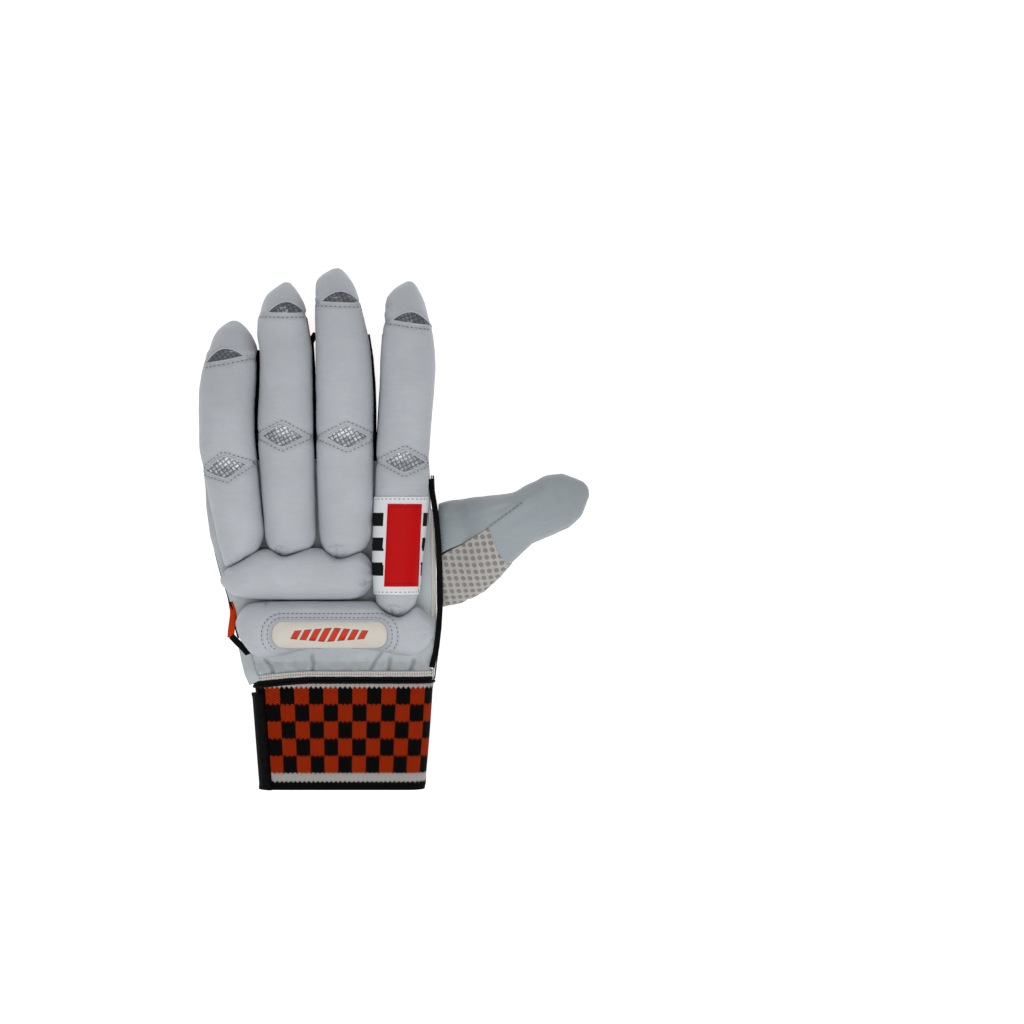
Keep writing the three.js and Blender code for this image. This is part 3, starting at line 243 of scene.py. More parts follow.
class GloveSizes(bpy.types.PropertyGroup):
    """Sizes that belong to the finish."""

    lip: distance("Window lip", "How far leather stands round a window", 0.75 * MM)
    groove: distance("Seam depth", "Depth of a sewn line in the padding", 0.5 * MM)
    groove_width: distance("Seam width", "Half width of a sewn line", 0.9 * MM)
    sag: distance("Leather unevenness", "Depth of the soft waves in the rolls", 0.28 * MM)
    crease: distance("Crease depth", "Depth of the creases across the leather", 0.07 * MM)
    stitch_pitch: distance("Stitch spacing", "From one stitch to the next", 2.3 * MM)
    stitch_length: distance("Stitch length", "Length of one stitch", 1.45 * MM)
    thread: distance("Thread width", "Width of the sewing thread", 0.5 * MM)
    tape: distance("Tape width", "Width of the binding tape on the finger walls", 3.0 * MM)
    wrist_fold: distance("Wrist fold depth", "Depth of the gathers at the wrist", 0.9 * MM)


class GloveColours(bpy.types.PropertyGroup):
    """Colours of the materials."""

    leather: colour("Roll leather", (186, 190, 195))
    palm: colour("Palm leather", (190, 196, 198))
    # Painted shade: the thumb's leather is given darker than the rolls' as it faces away from the light.
    thumb: colour("Thumb leather", (158, 166, 170))
    silver: colour("Woven insert", (150, 153, 158))
    black: colour("Binding", (10, 10, 11))
    orange: colour("Orange yarn", (208, 58, 8))
    white: colour("White yarn", (188, 184, 179))
    cream: colour("Badge", (212, 206, 194))
    red: colour("Label panel", (202, 3, 6))
    thread: colour("Thread", (104, 105, 106))


class GloveDetail(bpy.types.PropertyGroup):
    """How finely the soft pieces are divided."""

    around: IntProperty(name="Around a roll", description="Points round a roll", default=88,
                        min=24, max=160)
    step: distance("Roll step", "Distance between two sections of a roll", 0.85 * MM)
    voxel: distance("Remesh size", "Cell of the remeshed rolls", 1.0 * MM)


def sizes():
    return bpy.context.scene.glove_sizes


def detail():
    return bpy.context.scene.glove_detail


def smooth(share):
    share = np.clip(share, 0, 1)
    return share * share * (3 - 2 * share)


def hump(distances, width):
    return np.exp(-((distances / width) ** 2))


def points_of(mesh):
    points = np.empty(len(mesh.vertices) * 3, np.float32)
    mesh.vertices.foreach_get("co", points)
    return points.reshape(-1, 3).astype(float)


def normals_of(mesh):
    normals = np.empty(len(mesh.vertices) * 3, np.float32)
    mesh.vertex_normals.foreach_get("vector", normals)
    return normals.reshape(-1, 3).astype(float)


def put_points(mesh, points):
    mesh.vertices.foreach_set("co", points.astype(np.float32).ravel())
    mesh.update()


def waves(points, size, stretch=(1, 1, 1), start=0.0):
    """Soft unevenness at each point, from about -1 to 1, with waves of a size."""
    places = points / (size * np.array(stretch)) + start
    return np.array([noise.fractal(Vector(p), 1.0, 2.0, 3) for p in places])


def new_piece(name, points, faces, material, crisp=60):
    """An object whose faces point outwards, smooth but for edges past an angle."""
    mesh = bpy.data.meshes.new(name)
    mesh.from_pydata(np.asarray(points, float).tolist(), [], faces)
    shell = bmesh.new()
    shell.from_mesh(mesh)
    if shell.calc_volume(signed=True) < 0:
        bmesh.ops.reverse_faces(shell, faces=shell.faces)
    shell.to_mesh(mesh)
    shell.free()
    mesh.materials.append(material)
    finish_shading(mesh, crisp)
    piece = bpy.data.objects.new(name, mesh)
    bpy.context.scene.collection.objects.link(piece)
    return piece


def finish_shading(mesh, crisp=60):
    mesh.polygons.foreach_set("use_smooth", [True] * len(mesh.polygons))
    mesh.set_sharp_from_angle(angle=math.radians(crisp))
    mesh.update()


def quads(rows, columns, wrap=False):
    last = columns if wrap else columns - 1
    faces = []
    for r in range(rows - 1):
        for c in range(last):
            d = (c + 1) % columns
            faces.append((r * columns + c, r * columns + d, (r + 1) * columns + d, (r + 1) * columns + c))
    return faces


def capped(name, rings, material):
    """A closed body through rings of equally many points."""
    rows, around = rings.shape[:2]
    points = np.concatenate([rings.reshape(-1, 3), [rings[0].mean(0), rings[-1].mean(0)]])
    faces = quads(rows, around, wrap=True)
    last = (rows - 1) * around
    for c in range(around):
        d = (c + 1) % around
        faces.append((d, c, rows * around))
        faces.append((last + c, last + d, rows * around + 1))
    return new_piece(name, points, faces, material)


def walled(name, outer, inner, material):
    """A closed wall between two grids of points."""
    rows, columns = outer.shape[:2]
    count = rows * columns
    front = quads(rows, columns)
    faces = front + [tuple(i + count for i in reversed(face)) for face in front]
    rim = [
        *range(columns - 1),
        *range(columns - 1, count - 1, columns),
        *range(count - 1, count - columns, -1),
        *range(count - columns, -1, -columns),
    ]
    for a, b in zip(rim, rim[1:]):
        faces.append((b, a, a + count, b + count))
    points = np.concatenate([outer.reshape(-1, 3), inner.reshape(-1, 3)])
    return new_piece(name, points, faces, material)


def lay_pattern(piece, places):
    """Each point's place in the piece's own pattern, in millimetres."""
    mesh = piece.data
    corners = np.empty(len(mesh.loops), np.int32)
    mesh.loops.foreach_get("vertex_index", corners)
    layer = mesh.uv_layers.new(name="pattern")
    layer.data.foreach_set("uv", places[corners].astype(np.float32).ravel())


def mark(piece, name, values):
    attribute = piece.data.attributes.new(name, "FLOAT", "POINT")
    attribute.data.foreach_set("value", np.asarray(values, np.float32))


def applied(piece):
    """Turns the piece's modifiers into its own mesh."""
    shown = piece.evaluated_get(bpy.context.evaluated_depsgraph_get())
    mesh = bpy.data.meshes.new_from_object(shown)
    piece.modifiers.clear()
    old = piece.data
    piece.data = mesh
    bpy.data.meshes.remove(old)
    return piece


def copied(name, nodes, material):
    """A merged copy of solids from the frame, with pairs of triangles joined."""
    shell = bmesh.new()
    for node in nodes:
        shell.from_mesh(NODES[node].data)
    bmesh.ops.remove_doubles(shell, verts=shell.verts, dist=1e-6)
    bmesh.ops.join_triangles(
        shell, faces=shell.faces, angle_face_threshold=math.radians(40),
        angle_shape_threshold=math.radians(60),
    )
    mesh = bpy.data.meshes.new(name)
    shell.to_mesh(mesh)
    shell.free()
    mesh.materials.clear()
    mesh.materials.append(material)
    piece = bpy.data.objects.new(name, mesh)
    bpy.context.scene.collection.objects.link(piece)
    return piece


def rounded(name, nodes, material, flat=1, soft=2):
    """A copy divided flat first, so that its outline holds, and then rounded."""
    piece = copied(name, nodes, material)
    for kind, levels in (("SIMPLE", flat), ("CATMULL_CLARK", soft)):
        modifier = piece.modifiers.new(kind.lower(), "SUBSURF")
        modifier.subdivision_type = kind
        modifier.levels = modifier.render_levels = levels
    applied(piece)
    finish_shading(piece.data)
    return piece


def relax(mesh, passes, share=0.5):
    """Draws each point towards the middle of its neighbours."""
    ends = np.empty(len(mesh.edges) * 2, np.int32)
    mesh.edges.foreach_get("vertices", ends)
    a, b = ends.reshape(-1, 2).T
    points = points_of(mesh)
    count = len(points)
    near = np.bincount(np.concatenate([a, b]), minlength=count)[:, None]
    for _ in range(passes):
        total = np.stack(
            [np.bincount(a, points[b, k], count) + np.bincount(b, points[a, k], count) for k in range(3)],
            axis=1,
        )
        points += share * (total / near - points)
    put_points(mesh, points)


def remeshed(name, node, material, voxel, passes, swell):
    """A padded body remade from its solid in even cells, smoothed and filled out again."""
    piece = copied(name, [node], material)
    modifier = piece.modifiers.new("remesh", "REMESH")
    modifier.mode = "VOXEL"
    modifier.voxel_size = voxel
    applied(piece)
    relax(piece.data, passes)
    put_points(piece.data, points_of(piece.data) + swell * normals_of(piece.data))
    finish_shading(piece.data, 180)
    return piece


def tree_of(*pieces):
    points, faces = [], []
    for piece in pieces:
        first = len(points)
        points += [v.co[:] for v in piece.data.vertices]
        faces += [[first + i for i in p.vertices] for p in piece.data.polygons]
    return BVHTree.FromPolygons(points, faces)


def dropped(tree, plan):
    """Where plumb lines through places in plan meet a surface, and its normals there."""
    found = []
    for x, y in plan:
        place, normal, *_ = tree.ray_cast(Vector((x, y, ABOVE)), DOWN)
        if place is None:
            place, normal, *_ = tree.find_nearest(Vector((x, y, ABOVE / 3)))
        found.append((*place, *normal))
    found = np.array(found)
    return found[:, :3], found[:, 3:]


def clung(tree, points):
    """The nearest places on a surface, and its normals there."""
    found = []
    for p in points:
        place, normal, *_ = tree.find_nearest(Vector(p))
        found.append((*place, *normal))
    found = np.array(found)
    return found[:, :3], found[:, 3:]


def even(path, step, closed=False):
    """A path's points moved to equal steps along it."""
    path = np.asarray(path, float)
    if closed:
        path = np.concatenate([path, path[:1]])
    lengths = np.concatenate([[0], np.cumsum(np.linalg.norm(np.diff(path, axis=0), axis=1))])
    count = max(2, int(round(lengths[-1] / step)) + 1)
    wanted = np.linspace(0, lengths[-1], count)
    spaced = np.stack([np.interp(wanted, lengths, path[:, k]) for k in range(path.shape[1])], axis=1)
    return spaced[:-1] if closed else spaced


def distance_to(plan, path, closed=False):
    path = np.asarray(path, float)
    starts = path if closed else path[:-1]
    ends = np.roll(path, -1, axis=0) if closed else path[1:]
    nearest = np.full(len(plan), np.inf)
    for a, b in zip(starts, ends):
        along = b - a
        share = np.clip((plan - a) @ along / max(along @ along, 1e-12), 0, 1)
        nearest = np.minimum(nearest, np.linalg.norm(plan - a - share[:, None] * along, axis=1))
    return nearest


def monotone(places, values, wanted):
    """Values on a smooth curve through a table, which never swings past its rows."""
    steps = np.diff(places)
    rates = np.diff(values) / steps
    slopes = np.zeros(len(places))
    both = rates[:-1] * rates[1:]
    total = np.where(both > 0, rates[:-1] + rates[1:], 1)
    slopes[1:-1] = np.where(both > 0, 2 * both / total, 0)
    slopes[0], slopes[-1] = rates[0], rates[-1]
    k = np.clip(np.searchsorted(places, wanted) - 1, 0, len(steps) - 1)
    h = steps[k]
    t = np.clip((wanted - places[k]) / h, 0, 1)
    return (
        (2 * t**3 - 3 * t**2 + 1) * values[k]
        + (t**3 - 2 * t**2 + t) * h * slopes[k]
        + (3 * t**2 - 2 * t**3) * values[k + 1]
        + (t**3 - t**2) * h * slopes[k + 1]
    )


def swept(name, runs, section, material):
    """One mesh of bands along runs. A run has points, outward directions and whether it
    closes, and the section lists places across and out."""
    section = np.asarray(section, float)
    sides = len(section)
    points, faces = [], []
    for path, ups, closed in runs:
        path, ups = np.asarray(path, float), np.asarray(ups, float)
        if closed:
            along = np.roll(path, -1, axis=0) - np.roll(path, 1, axis=0)
        else:
            along = np.gradient(path, axis=0)
        along /= np.linalg.norm(along, axis=1, keepdims=True)
        across = np.cross(along, ups)
        across /= np.linalg.norm(across, axis=1, keepdims=True)
        out = np.cross(across, along)
        rings = (
            path[:, None]
            + across[:, None] * section[None, :, :1]
            + out[:, None] * section[None, :, 1:]
        )
        first, count = len(points), len(path)
        points += rings.reshape(-1, 3).tolist()
        for r in range(count if closed else count - 1):
            for s in range(sides):
                a, b = first + r * sides, first + (r + 1) % count * sides
                t = (s + 1) % sides
                faces.append((a + s, a + t, b + t, b + s))
        if not closed:
            last = first + (count - 1) * sides
            faces.append(tuple(first + s for s in reversed(range(sides))))
            faces.append(tuple(last + s for s in range(sides)))
    return new_piece(name, points, faces, material, 70)


def half_round(width, height):
    turns = np.linspace(0, math.pi, 6)
    return [(width / 2 * math.cos(t), height * math.sin(t)) for t in turns] + [(0, -height / 2)]


def flat_band(width, height):
    half, low = width / 2, height * 0.4
    top = half * 0.8
    return [(half, -low), (half, low), (top, height), (-top, height), (-half, low), (-half, -low)]


def keep(piece, slot, *nodes, fill=None):
    """Hides the frame's parts that the piece stands for and hangs it from the root; its material slot is
    not used.
    """
    if nodes:
        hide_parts(*nodes)
    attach(piece, "root")
    return piece


# Materials. Each is built once, when a piece first asks for it.
class Finish:
    """One material's nodes. Each call adds a node and gives back what it puts out."""

    def __init__(self, name, **constants):
        self.material = bpy.data.materials.new(name)
        self.material.use_nodes = True
        self.nodes = self.material.node_tree.nodes
        self.links = self.material.node_tree.links
        self.shader = self.nodes["Principled BSDF"]
        for socket, value in constants.items():
            self.shader.inputs[socket.replace("_", " ")].default_value = value

    def give(self, socket, value):
        if isinstance(value, bpy.types.NodeSocket):
            self.links.new(value, socket)
        else:
            socket.default_value = value

    def add(self, kind, inputs=(), **settings):
        node = self.nodes.new("ShaderNode" + kind)
        for key, value in settings.items():
            setattr(node, key, value)
        for key, value in dict(inputs).items():
            self.give(node.inputs[key], value)
        return node

    def maths(self, operation, a, b=0.0, clamp=False):
        node = self.add("Math", {0: a, 1: b}, operation=operation, use_clamp=clamp)
        return node.outputs[0]

    def step(self, value, low, high):
        """0 below low and 1 above high, smooth between."""
        inputs = {"Value": value, "From Min": low, "From Max": high}
        return self.add("MapRange", inputs, interpolation_type="SMOOTHSTEP").outputs[0]

    def mix(self, share, a, b):
        a, b = [(*c, 1.0) if isinstance(c, tuple) and len(c) == 3 else c for c in (a, b)]
        node = self.add("Mix", {0: share, 6: a, 7: b}, data_type="RGBA")
        return node.outputs[2]

    def places(self, scale=(1, 1, 1), turn=0.0):
        source = self.add("TexCoord").outputs["Object"]
        inputs = {"Vector": source, "Scale": scale, "Rotation": (0, 0, turn)}
        return self.add("Mapping", inputs).outputs[0]

    def pattern(self):
        """The piece's own pattern coordinates, in millimetres, along and across."""
        parts = self.add("SeparateXYZ", {0: self.add("UVMap", uv_map="pattern").outputs[0]})
        return parts.outputs[0], parts.outputs[1]

    def noise(self, places, scale, depth=2.0, rough=0.5):
        inputs = {"Vector": places, "Scale": scale, "Detail": depth, "Roughness": rough}
        return self.add("TexNoise", inputs).outputs[0]

    def cells(self, places, scale):
        return self.add("TexVoronoi", {"Vector": places, "Scale": scale}).outputs["Distance"]

    def marked(self, name):
        return self.add("Attribute", attribute_name=name).outputs["Fac"]

    def bump(self, height, depth, below=None):
        inputs = {"Height": height, "Distance": depth, "Strength": 1.0}
        if below is not None:
            inputs["Normal"] = below
        return self.add("Bump", inputs).outputs[0]

    def finish(self, base, normal=None, rough=None):
        self.give(self.shader.inputs["Base Color"], base)
        if normal is not None:
            self.give(self.shader.inputs["Normal"], normal)
        if rough is not None:
            self.give(self.shader.inputs["Roughness"], rough)
        return self.material


def shaded(hue, share):
    """A colour made darker or brighter."""
    return tuple(min(1.0, c * share) for c in hue)


def leather(name, hue, rough, grain_depth, crease_depth):
    """Full-grain leather: fine pebbles, broken creases with painted shade in them, faint blotches, and
    painted shade in seams and grooves.
    """
    made = Finish(name, Roughness=rough, Specular_IOR_Level=0.35)
    places = made.places()
    pebbles = made.cells(places, 1150.0)
    pores = made.noise(places, 2600.0, 3.0, 0.6)
    grain = made.maths("ADD", made.maths("MULTIPLY", pebbles, 0.7), made.maths("MULTIPLY", pores, 0.5))
    creases = made.noise(made.places((90, 330, 200)), 1.0, 5.0, 0.62)
    lines = made.maths("ABSOLUTE", made.maths("SUBTRACT", creases, 0.5))
    lines = made.step(lines, 0.0, 0.09)
    blotches = made.noise(places, 38.0, 4.0, 0.55)
    shade = made.mix(made.step(blotches, 0.35, 0.68), shaded(hue, 0.93), hue)
    # Painted shade: the crease lines are darkened towards grey.
    crease_shade = made.maths("MULTIPLY", made.maths("SUBTRACT", 1.0, lines), 0.05)
    shade = made.mix(crease_shade, shade, (0.25, 0.25, 0.26))
    # Painted shade: the 'seam' attribute darkens the leather towards a darker copy of its hue in seams,
    # grooves, creases and round window and badge edges.
    seam = made.maths("MULTIPLY", made.marked("seam"), 0.55)
    shade = made.mix(seam, shade, shaded(hue, 0.42))
    normal = made.bump(lines, crease_depth, made.bump(grain, grain_depth))
    worn = made.step(pores, 0.3, 0.8)
    shine = made.maths("ADD", made.maths("MULTIPLY", worn, 0.12), rough - 0.05)
    return made.finish(shade, normal, shine)


def woven_insert(name, silver, glare):
    """Silver basket weave under a clear film, with painted glints of reflection on random tiles and painted
    shade between the strands.
    """
    made = Finish(name, Roughness=0.32, Coat_Weight=0.4, Coat_Roughness=0.12, Metallic=0.1)
    u, v = made.pattern()
    turn = math.radians(WEAVE_TURN)
    across = made.maths("ADD", made.maths("MULTIPLY", u, math.cos(turn) / WEAVE_TILE),
                        made.maths("MULTIPLY", v, math.sin(turn) / WEAVE_TILE))
    along = made.maths("SUBTRACT", made.maths("MULTIPLY", v, math.cos(turn) / WEAVE_TILE),
                       made.maths("MULTIPLY", u, math.sin(turn) / WEAVE_TILE))
    columns, rows = made.maths("FLOOR", across), made.maths("FLOOR", along)
    odd = made.maths("ABSOLUTE", made.maths("MODULO", made.maths("ADD", columns, rows), 2.0))
    x = made.maths("ABSOLUTE", made.maths("SUBTRACT", made.maths("SUBTRACT", across, columns), 0.5))
    y = made.maths("ABSOLUTE", made.maths("SUBTRACT", made.maths("SUBTRACT", along, rows), 0.5))
    even_tile = made.maths("SUBTRACT", 1.0, odd)
    short = made.maths("ADD", made.maths("MULTIPLY", x, odd), made.maths("MULTIPLY", y, even_tile))
    long = made.maths("ADD", made.maths("MULTIPLY", y, odd), made.maths("MULTIPLY", x, even_tile))
    tile = made.maths("MULTIPLY", made.step(short, 0.4, 0.24), made.step(long, 0.5, 0.38))
    place = made.add("CombineXYZ", {0: columns, 1: rows}).outputs[0]
    # Painted reflection: random tiles are brightened towards the glare colour where a broad noise lets
    # them, as glints in the film.
    chance = made.add("TexWhiteNoise", {"Vector": place}).outputs["Value"]
    sky = made.noise(made.places(), 70.0, 2.0)
    glint = made.maths("MULTIPLY", chance, made.step(sky, 0.25, 0.6))
    bright = made.mix(glint, silver, glare)
    # Painted shade: the gaps between the strands take a darker copy of the silver.
    shade = made.mix(tile, shaded(silver, 0.45), bright)
    return made.finish(shade, made.bump(tile, 0.0002))


def badge_face():
    """Cream moulding under clear resin, with a row of slanted bars."""
    colours = bpy.context.scene.glove_colours
    made = Finish("badge_resin", Roughness=0.5, Specular_IOR_Level=0.02, Coat_Weight=0.22,
                  Coat_Roughness=0.06)
    u, v = made.pattern()
    slanted = made.maths("ADD", u, made.maths("MULTIPLY", v, MARK_SLANT))
    bars = made.maths("PINGPONG", slanted, MARK_HALF_PITCH)
    reach = made.maths("ABSOLUTE", slanted)
    tall = made.maths("SUBTRACT", MARK_HEIGHT, made.maths("MULTIPLY", reach, MARK_TAPER))
    above = made.maths("SUBTRACT", tall, made.maths("ABSOLUTE", v))

    def inside(edge):
        bar = made.step(bars, MARK_GAP + edge, MARK_GAP + edge + 0.16)
        high = made.step(above, edge, edge + 0.16)
        ends = made.maths("SUBTRACT", 1.0, made.step(reach, MARK_REACH - edge, MARK_REACH - edge + 0.2))
        return made.maths("MULTIPLY", made.maths("MULTIPLY", bar, high), ends)

    fade = made.noise(made.places(), 60.0, 3.0)
    cream = made.mix(fade, tuple(colours.cream), shaded(colours.cream, 0.93))
    shade = made.mix(inside(0.0), cream, (0.012, 0.012, 0.012))
    shade = made.mix(inside(MARK_LINE), shade, (0.6, 0.022, 0.0))
    return made.finish(shade, made.bump(made.noise(made.places(), 90.0, 1.0), 0.0001))


def label_face():
    """A satin label: white, with black bars down both sides."""
    made = Finish("label_print", Roughness=0.6, Specular_IOR_Level=0.05)
    u, v = made.pattern()
    side = made.step(made.maths("ABSOLUTE", u), BAR_START - 0.1, BAR_START + 0.1)
    bars = 0.0
    for place in BAR_PLACES:
        away = made.maths("ABSOLUTE", made.maths("SUBTRACT", v, place))
        bar = made.maths("SUBTRACT", 1.0, made.step(away, BAR_WIDTH / 2 - 0.1, BAR_WIDTH / 2 + 0.1))
        bars = made.maths("ADD", bars, bar, clamp=True)
    threads = made.maths("SINE", made.maths("MULTIPLY", v, 16.0))
    shade = made.mix(made.noise(made.places(), 240.0), (0.84, 0.85, 0.86), (0.78, 0.79, 0.8))
    shade = made.mix(made.maths("MULTIPLY", side, bars), shade, (0.01, 0.01, 0.011))
    return made.finish(shade, made.bump(threads, 0.00004))


def panel_face():
    """The label's plain red satin panel, with a darker line inside its edge."""
    red = tuple(bpy.context.scene.glove_colours.red)
    made = Finish("label_panel", Roughness=0.45, Specular_IOR_Level=0.12)
    u, v = made.pattern()
    edge = made.maths("MINIMUM", made.maths("SUBTRACT", 1.0, made.maths("ABSOLUTE", u)),
                      made.maths("SUBTRACT", 1.0, made.maths("ABSOLUTE", v)))
    line = made.maths("MULTIPLY", made.step(edge, 0.05, 0.06), made.step(edge, 0.1, 0.09))
    threads = made.maths("SINE", made.maths("MULTIPLY", v, 330.0))
    cloudy = made.noise(made.places(), 160.0)
    shade = made.mix(cloudy, shaded(red, 0.9), red)
    shade = made.mix(made.maths("MULTIPLY", line, 0.35), shade, shaded(red, 0.35))
    return made.finish(shade, made.bump(threads, 0.00004))


def knit_height(made, u, v, wale):
    """Slanted knit stitches in wales of a width: their height and the wobble of their rows."""
    share = made.maths("PINGPONG", u, wale / 2)
    chevron = made.maths("MULTIPLY", share, 1.1)
    courses = made.maths("ADD", v, chevron)
    loops = made.maths("SINE", made.maths("MULTIPLY", courses, 2 * math.pi / 1.3))
    ridge = made.maths("SINE", made.maths("MULTIPLY", share, math.pi / (wale / 2)))
    height = made.maths("ADD", made.maths("MULTIPLY", loops, 0.9), made.maths("MULTIPLY", ridge, 0.35))
    return height, courses


def knitted_cuff():
    """Elastic rib in checks between plain bands, each yarn painted lighter on its raised loops and darker
    between them.
    """
    colours = bpy.context.scene.glove_colours
    made = Finish("checked_knit", Roughness=0.92, Specular_IOR_Level=0.06)
    u, v = made.pattern()
    height, courses = knit_height(made, u, v, WALE)
    row = made.maths("FLOOR", made.maths("DIVIDE", made.maths("SUBTRACT", courses, TOP_BAND), CHECK_HEIGHT))
    wobble = made.maths("MULTIPLY", made.maths("SINE", made.maths("MULTIPLY", v, 6.6)), 0.16)
    column = made.maths("FLOOR", made.maths("DIVIDE", made.maths("ADD", u, wobble), CHECK_WIDTH))
    odd = made.maths("ABSOLUTE", made.maths("MODULO", made.maths("ADD", row, column), 2.0))
    fuzz = made.noise(made.places(), 900.0, 3.0, 0.7)
    # Painted light and shade: each yarn's colour runs from a darker copy in the hollows to a lighter one on
    # the raised loops.
    raised = made.step(height, -0.6, 1.2)
    orange_lit_and_shaded = made.mix(raised, shaded(colours.orange, 0.28), shaded(colours.orange, 1.3))
    black_lit_and_shaded = made.mix(raised, (0.0015, 0.0015, 0.0015), shaded(colours.black, 1.2))
    pale = made.mix(raised, shaded(colours.white, 0.75), shaded(colours.white, 1.9))
    shade = made.mix(made.step(odd, 0.45, 0.55), orange_lit_and_shaded, black_lit_and_shaded)
    checks_end = TOP_BAND + CHECK_ROWS * CHECK_HEIGHT
    shade = made.mix(made.step(courses, TOP_BAND + 0.05, TOP_BAND - 0.05), shade, pale)
    shade = made.mix(made.step(courses, checks_end - 0.05, checks_end + 0.05), shade, pale)
    hem = checks_end + HEM_BAND
    shade = made.mix(made.step(courses, hem - 0.05, hem + 0.05), shade, black_lit_and_shaded)
    shade = made.mix(made.maths("MULTIPLY", fuzz, 0.012), shade, (0.3, 0.2, 0.16))
    return made.finish(shade, made.bump(height, 0.0005, made.bump(fuzz, 0.0002)))


def tape(name, hue, rib, along=1):
    """Woven tape with ribs across it, painted lighter on their crests and darker in their hollows."""
    made = Finish(name, Roughness=0.85, Specular_IOR_Level=0.08)
    parts = made.add("SeparateXYZ", {0: made.places()})
    ribs = made.maths("SINE", made.maths("MULTIPLY", parts.outputs[along], 2 * math.pi / rib))
    fuzz = made.noise(made.places(), 1600.0, 3.0, 0.7)
    # Painted light and shade: a lighter copy of the hue on the ribs' crests and a darker one in their
    # hollows.
    high = tuple(min(1.0, c * 1.3 + 0.002) for c in hue)
    shade = made.mix(made.step(made.maths("ADD", ribs, fuzz), -0.6, 1.4), shaded(hue, 0.7), high)
    return made.finish(shade, made.bump(ribs, 0.00012, made.bump(fuzz, 0.0001)))


def holes(made, u, v, pitch, radius, edge, offset_rows):
    """1 in round holes on a grid, 0 between them."""
    row = made.maths("FLOOR", made.maths("DIVIDE", v, pitch))
    odd = made.maths("ABSOLUTE", made.maths("MODULO", row, 2.0))
    shift = made.maths("MULTIPLY", odd, pitch / 2 * offset_rows)
    x = made.maths("SUBTRACT", made.maths("FLOORED_MODULO", made.maths("ADD", u, shift), pitch), pitch / 2)
    y = made.maths("SUBTRACT", made.maths("FLOORED_MODULO", v, pitch), pitch / 2)
    away = made.maths("SQRT", made.maths("ADD", made.maths("MULTIPLY", x, x), made.maths("MULTIPLY", y, y)))
    return made.step(away, radius + edge, radius - edge)


def net(name, hue, under, pitch, radius, offset_rows):
    """Spacer net: knitted yarn, painted darker in its knots' dimples, round holes filled with a dark colour
    as painted shade.
    """
    made = Finish(name, Roughness=0.9, Specular_IOR_Level=0.1)
    u, v = made.pattern()
    hole = holes(made, u, v, pitch, radius, 0.16, offset_rows)
    knots = made.cells(made.places(), 1900.0)
    yarn = made.noise(made.places(), 1300.0, 3.0, 0.65)
    # Painted shade: the yarn is darker where its knots dip.
    shade = made.mix(made.step(knots, 0.1, 0.75), shaded(hue, 0.82), hue)
    # Painted shade: the holes take the dark colour given as under.
    shade = made.mix(hole, shade, under)
    height = made.maths("SUBTRACT", made.maths("MULTIPLY", yarn, 0.5), hole)
    return made.finish(shade, made.bump(height, 0.00025, made.bump(knots, 0.0001)))


def strap_fabric():
    """Black laminated fabric with a dull, slightly ribbed face."""
    made = Finish("strap_fabric", Roughness=0.7, Specular_IOR_Level=0.04)
    places = made.places()
    ribs = made.add("TexWave", {"Vector": places, "Scale": 380.0, "Distortion": 0.6},
                    bands_direction="Y").outputs["Fac"]
    dust = made.noise(places, 420.0, 4.0, 0.6)
    shade = made.mix(made.step(dust, 0.35, 0.8), (0.0012, 0.0013, 0.0014), (0.0045, 0.0048, 0.005))
    return made.finish(shade, made.bump(ribs, 0.00007, made.bump(dust, 0.00008)))


def moulded_rubber():
    """Orange moulded rubber with a fine matt face."""
    hue = tuple(bpy.context.scene.glove_colours.orange)
    made = Finish("moulded_rubber", Roughness=0.5)
    speckle = made.noise(made.places(), 1500.0, 2.0)
    cloud = made.noise(made.places(), 110.0, 3.0)
    shade = made.mix(made.step(cloud, 0.3, 0.75), shaded(hue, 0.82), hue)
    return made.finish(shade, made.bump(speckle, 0.00008))


def sewing_thread():
    hue = tuple(bpy.context.scene.glove_colours.thread)
    made = Finish("sewing_thread", Roughness=0.7)
    twist = made.noise(made.places(), 3000.0, 2.0)
    # Painted light and shade: lighter and darker copies of the thread's hue follow the twist's bump.
    shade = made.mix(twist, shaded(hue, 0.6), shaded(hue, 1.3))
    return made.finish(shade, made.bump(twist, 0.00006))


def hole_shade_finish():
    # Painted shade: a dark disc stands for the shade inside a vent hole.
    made = Finish("painted_hole_shade", Roughness=0.95)
    shade = made.mix(made.noise(made.places(), 900.0), (0.01, 0.01, 0.01), (0.03, 0.03, 0.03))
    return made.finish(shade)


def floor_paper():
    made = Finish("floor_paper", Roughness=0.85)
    cloud = made.noise(made.places(), 3.0, 3.0)
    shade = made.mix(cloud, (0.62, 0.62, 0.62), (0.6, 0.6, 0.605))
    made.shader.inputs["Emission Color"].default_value = (1.0, 1.0, 1.0, 1.0)
    made.shader.inputs["Emission Strength"].default_value = FLOOR_GLOW
    return made.finish(shade, made.bump(made.noise(made.places(), 700.0), 0.00005))


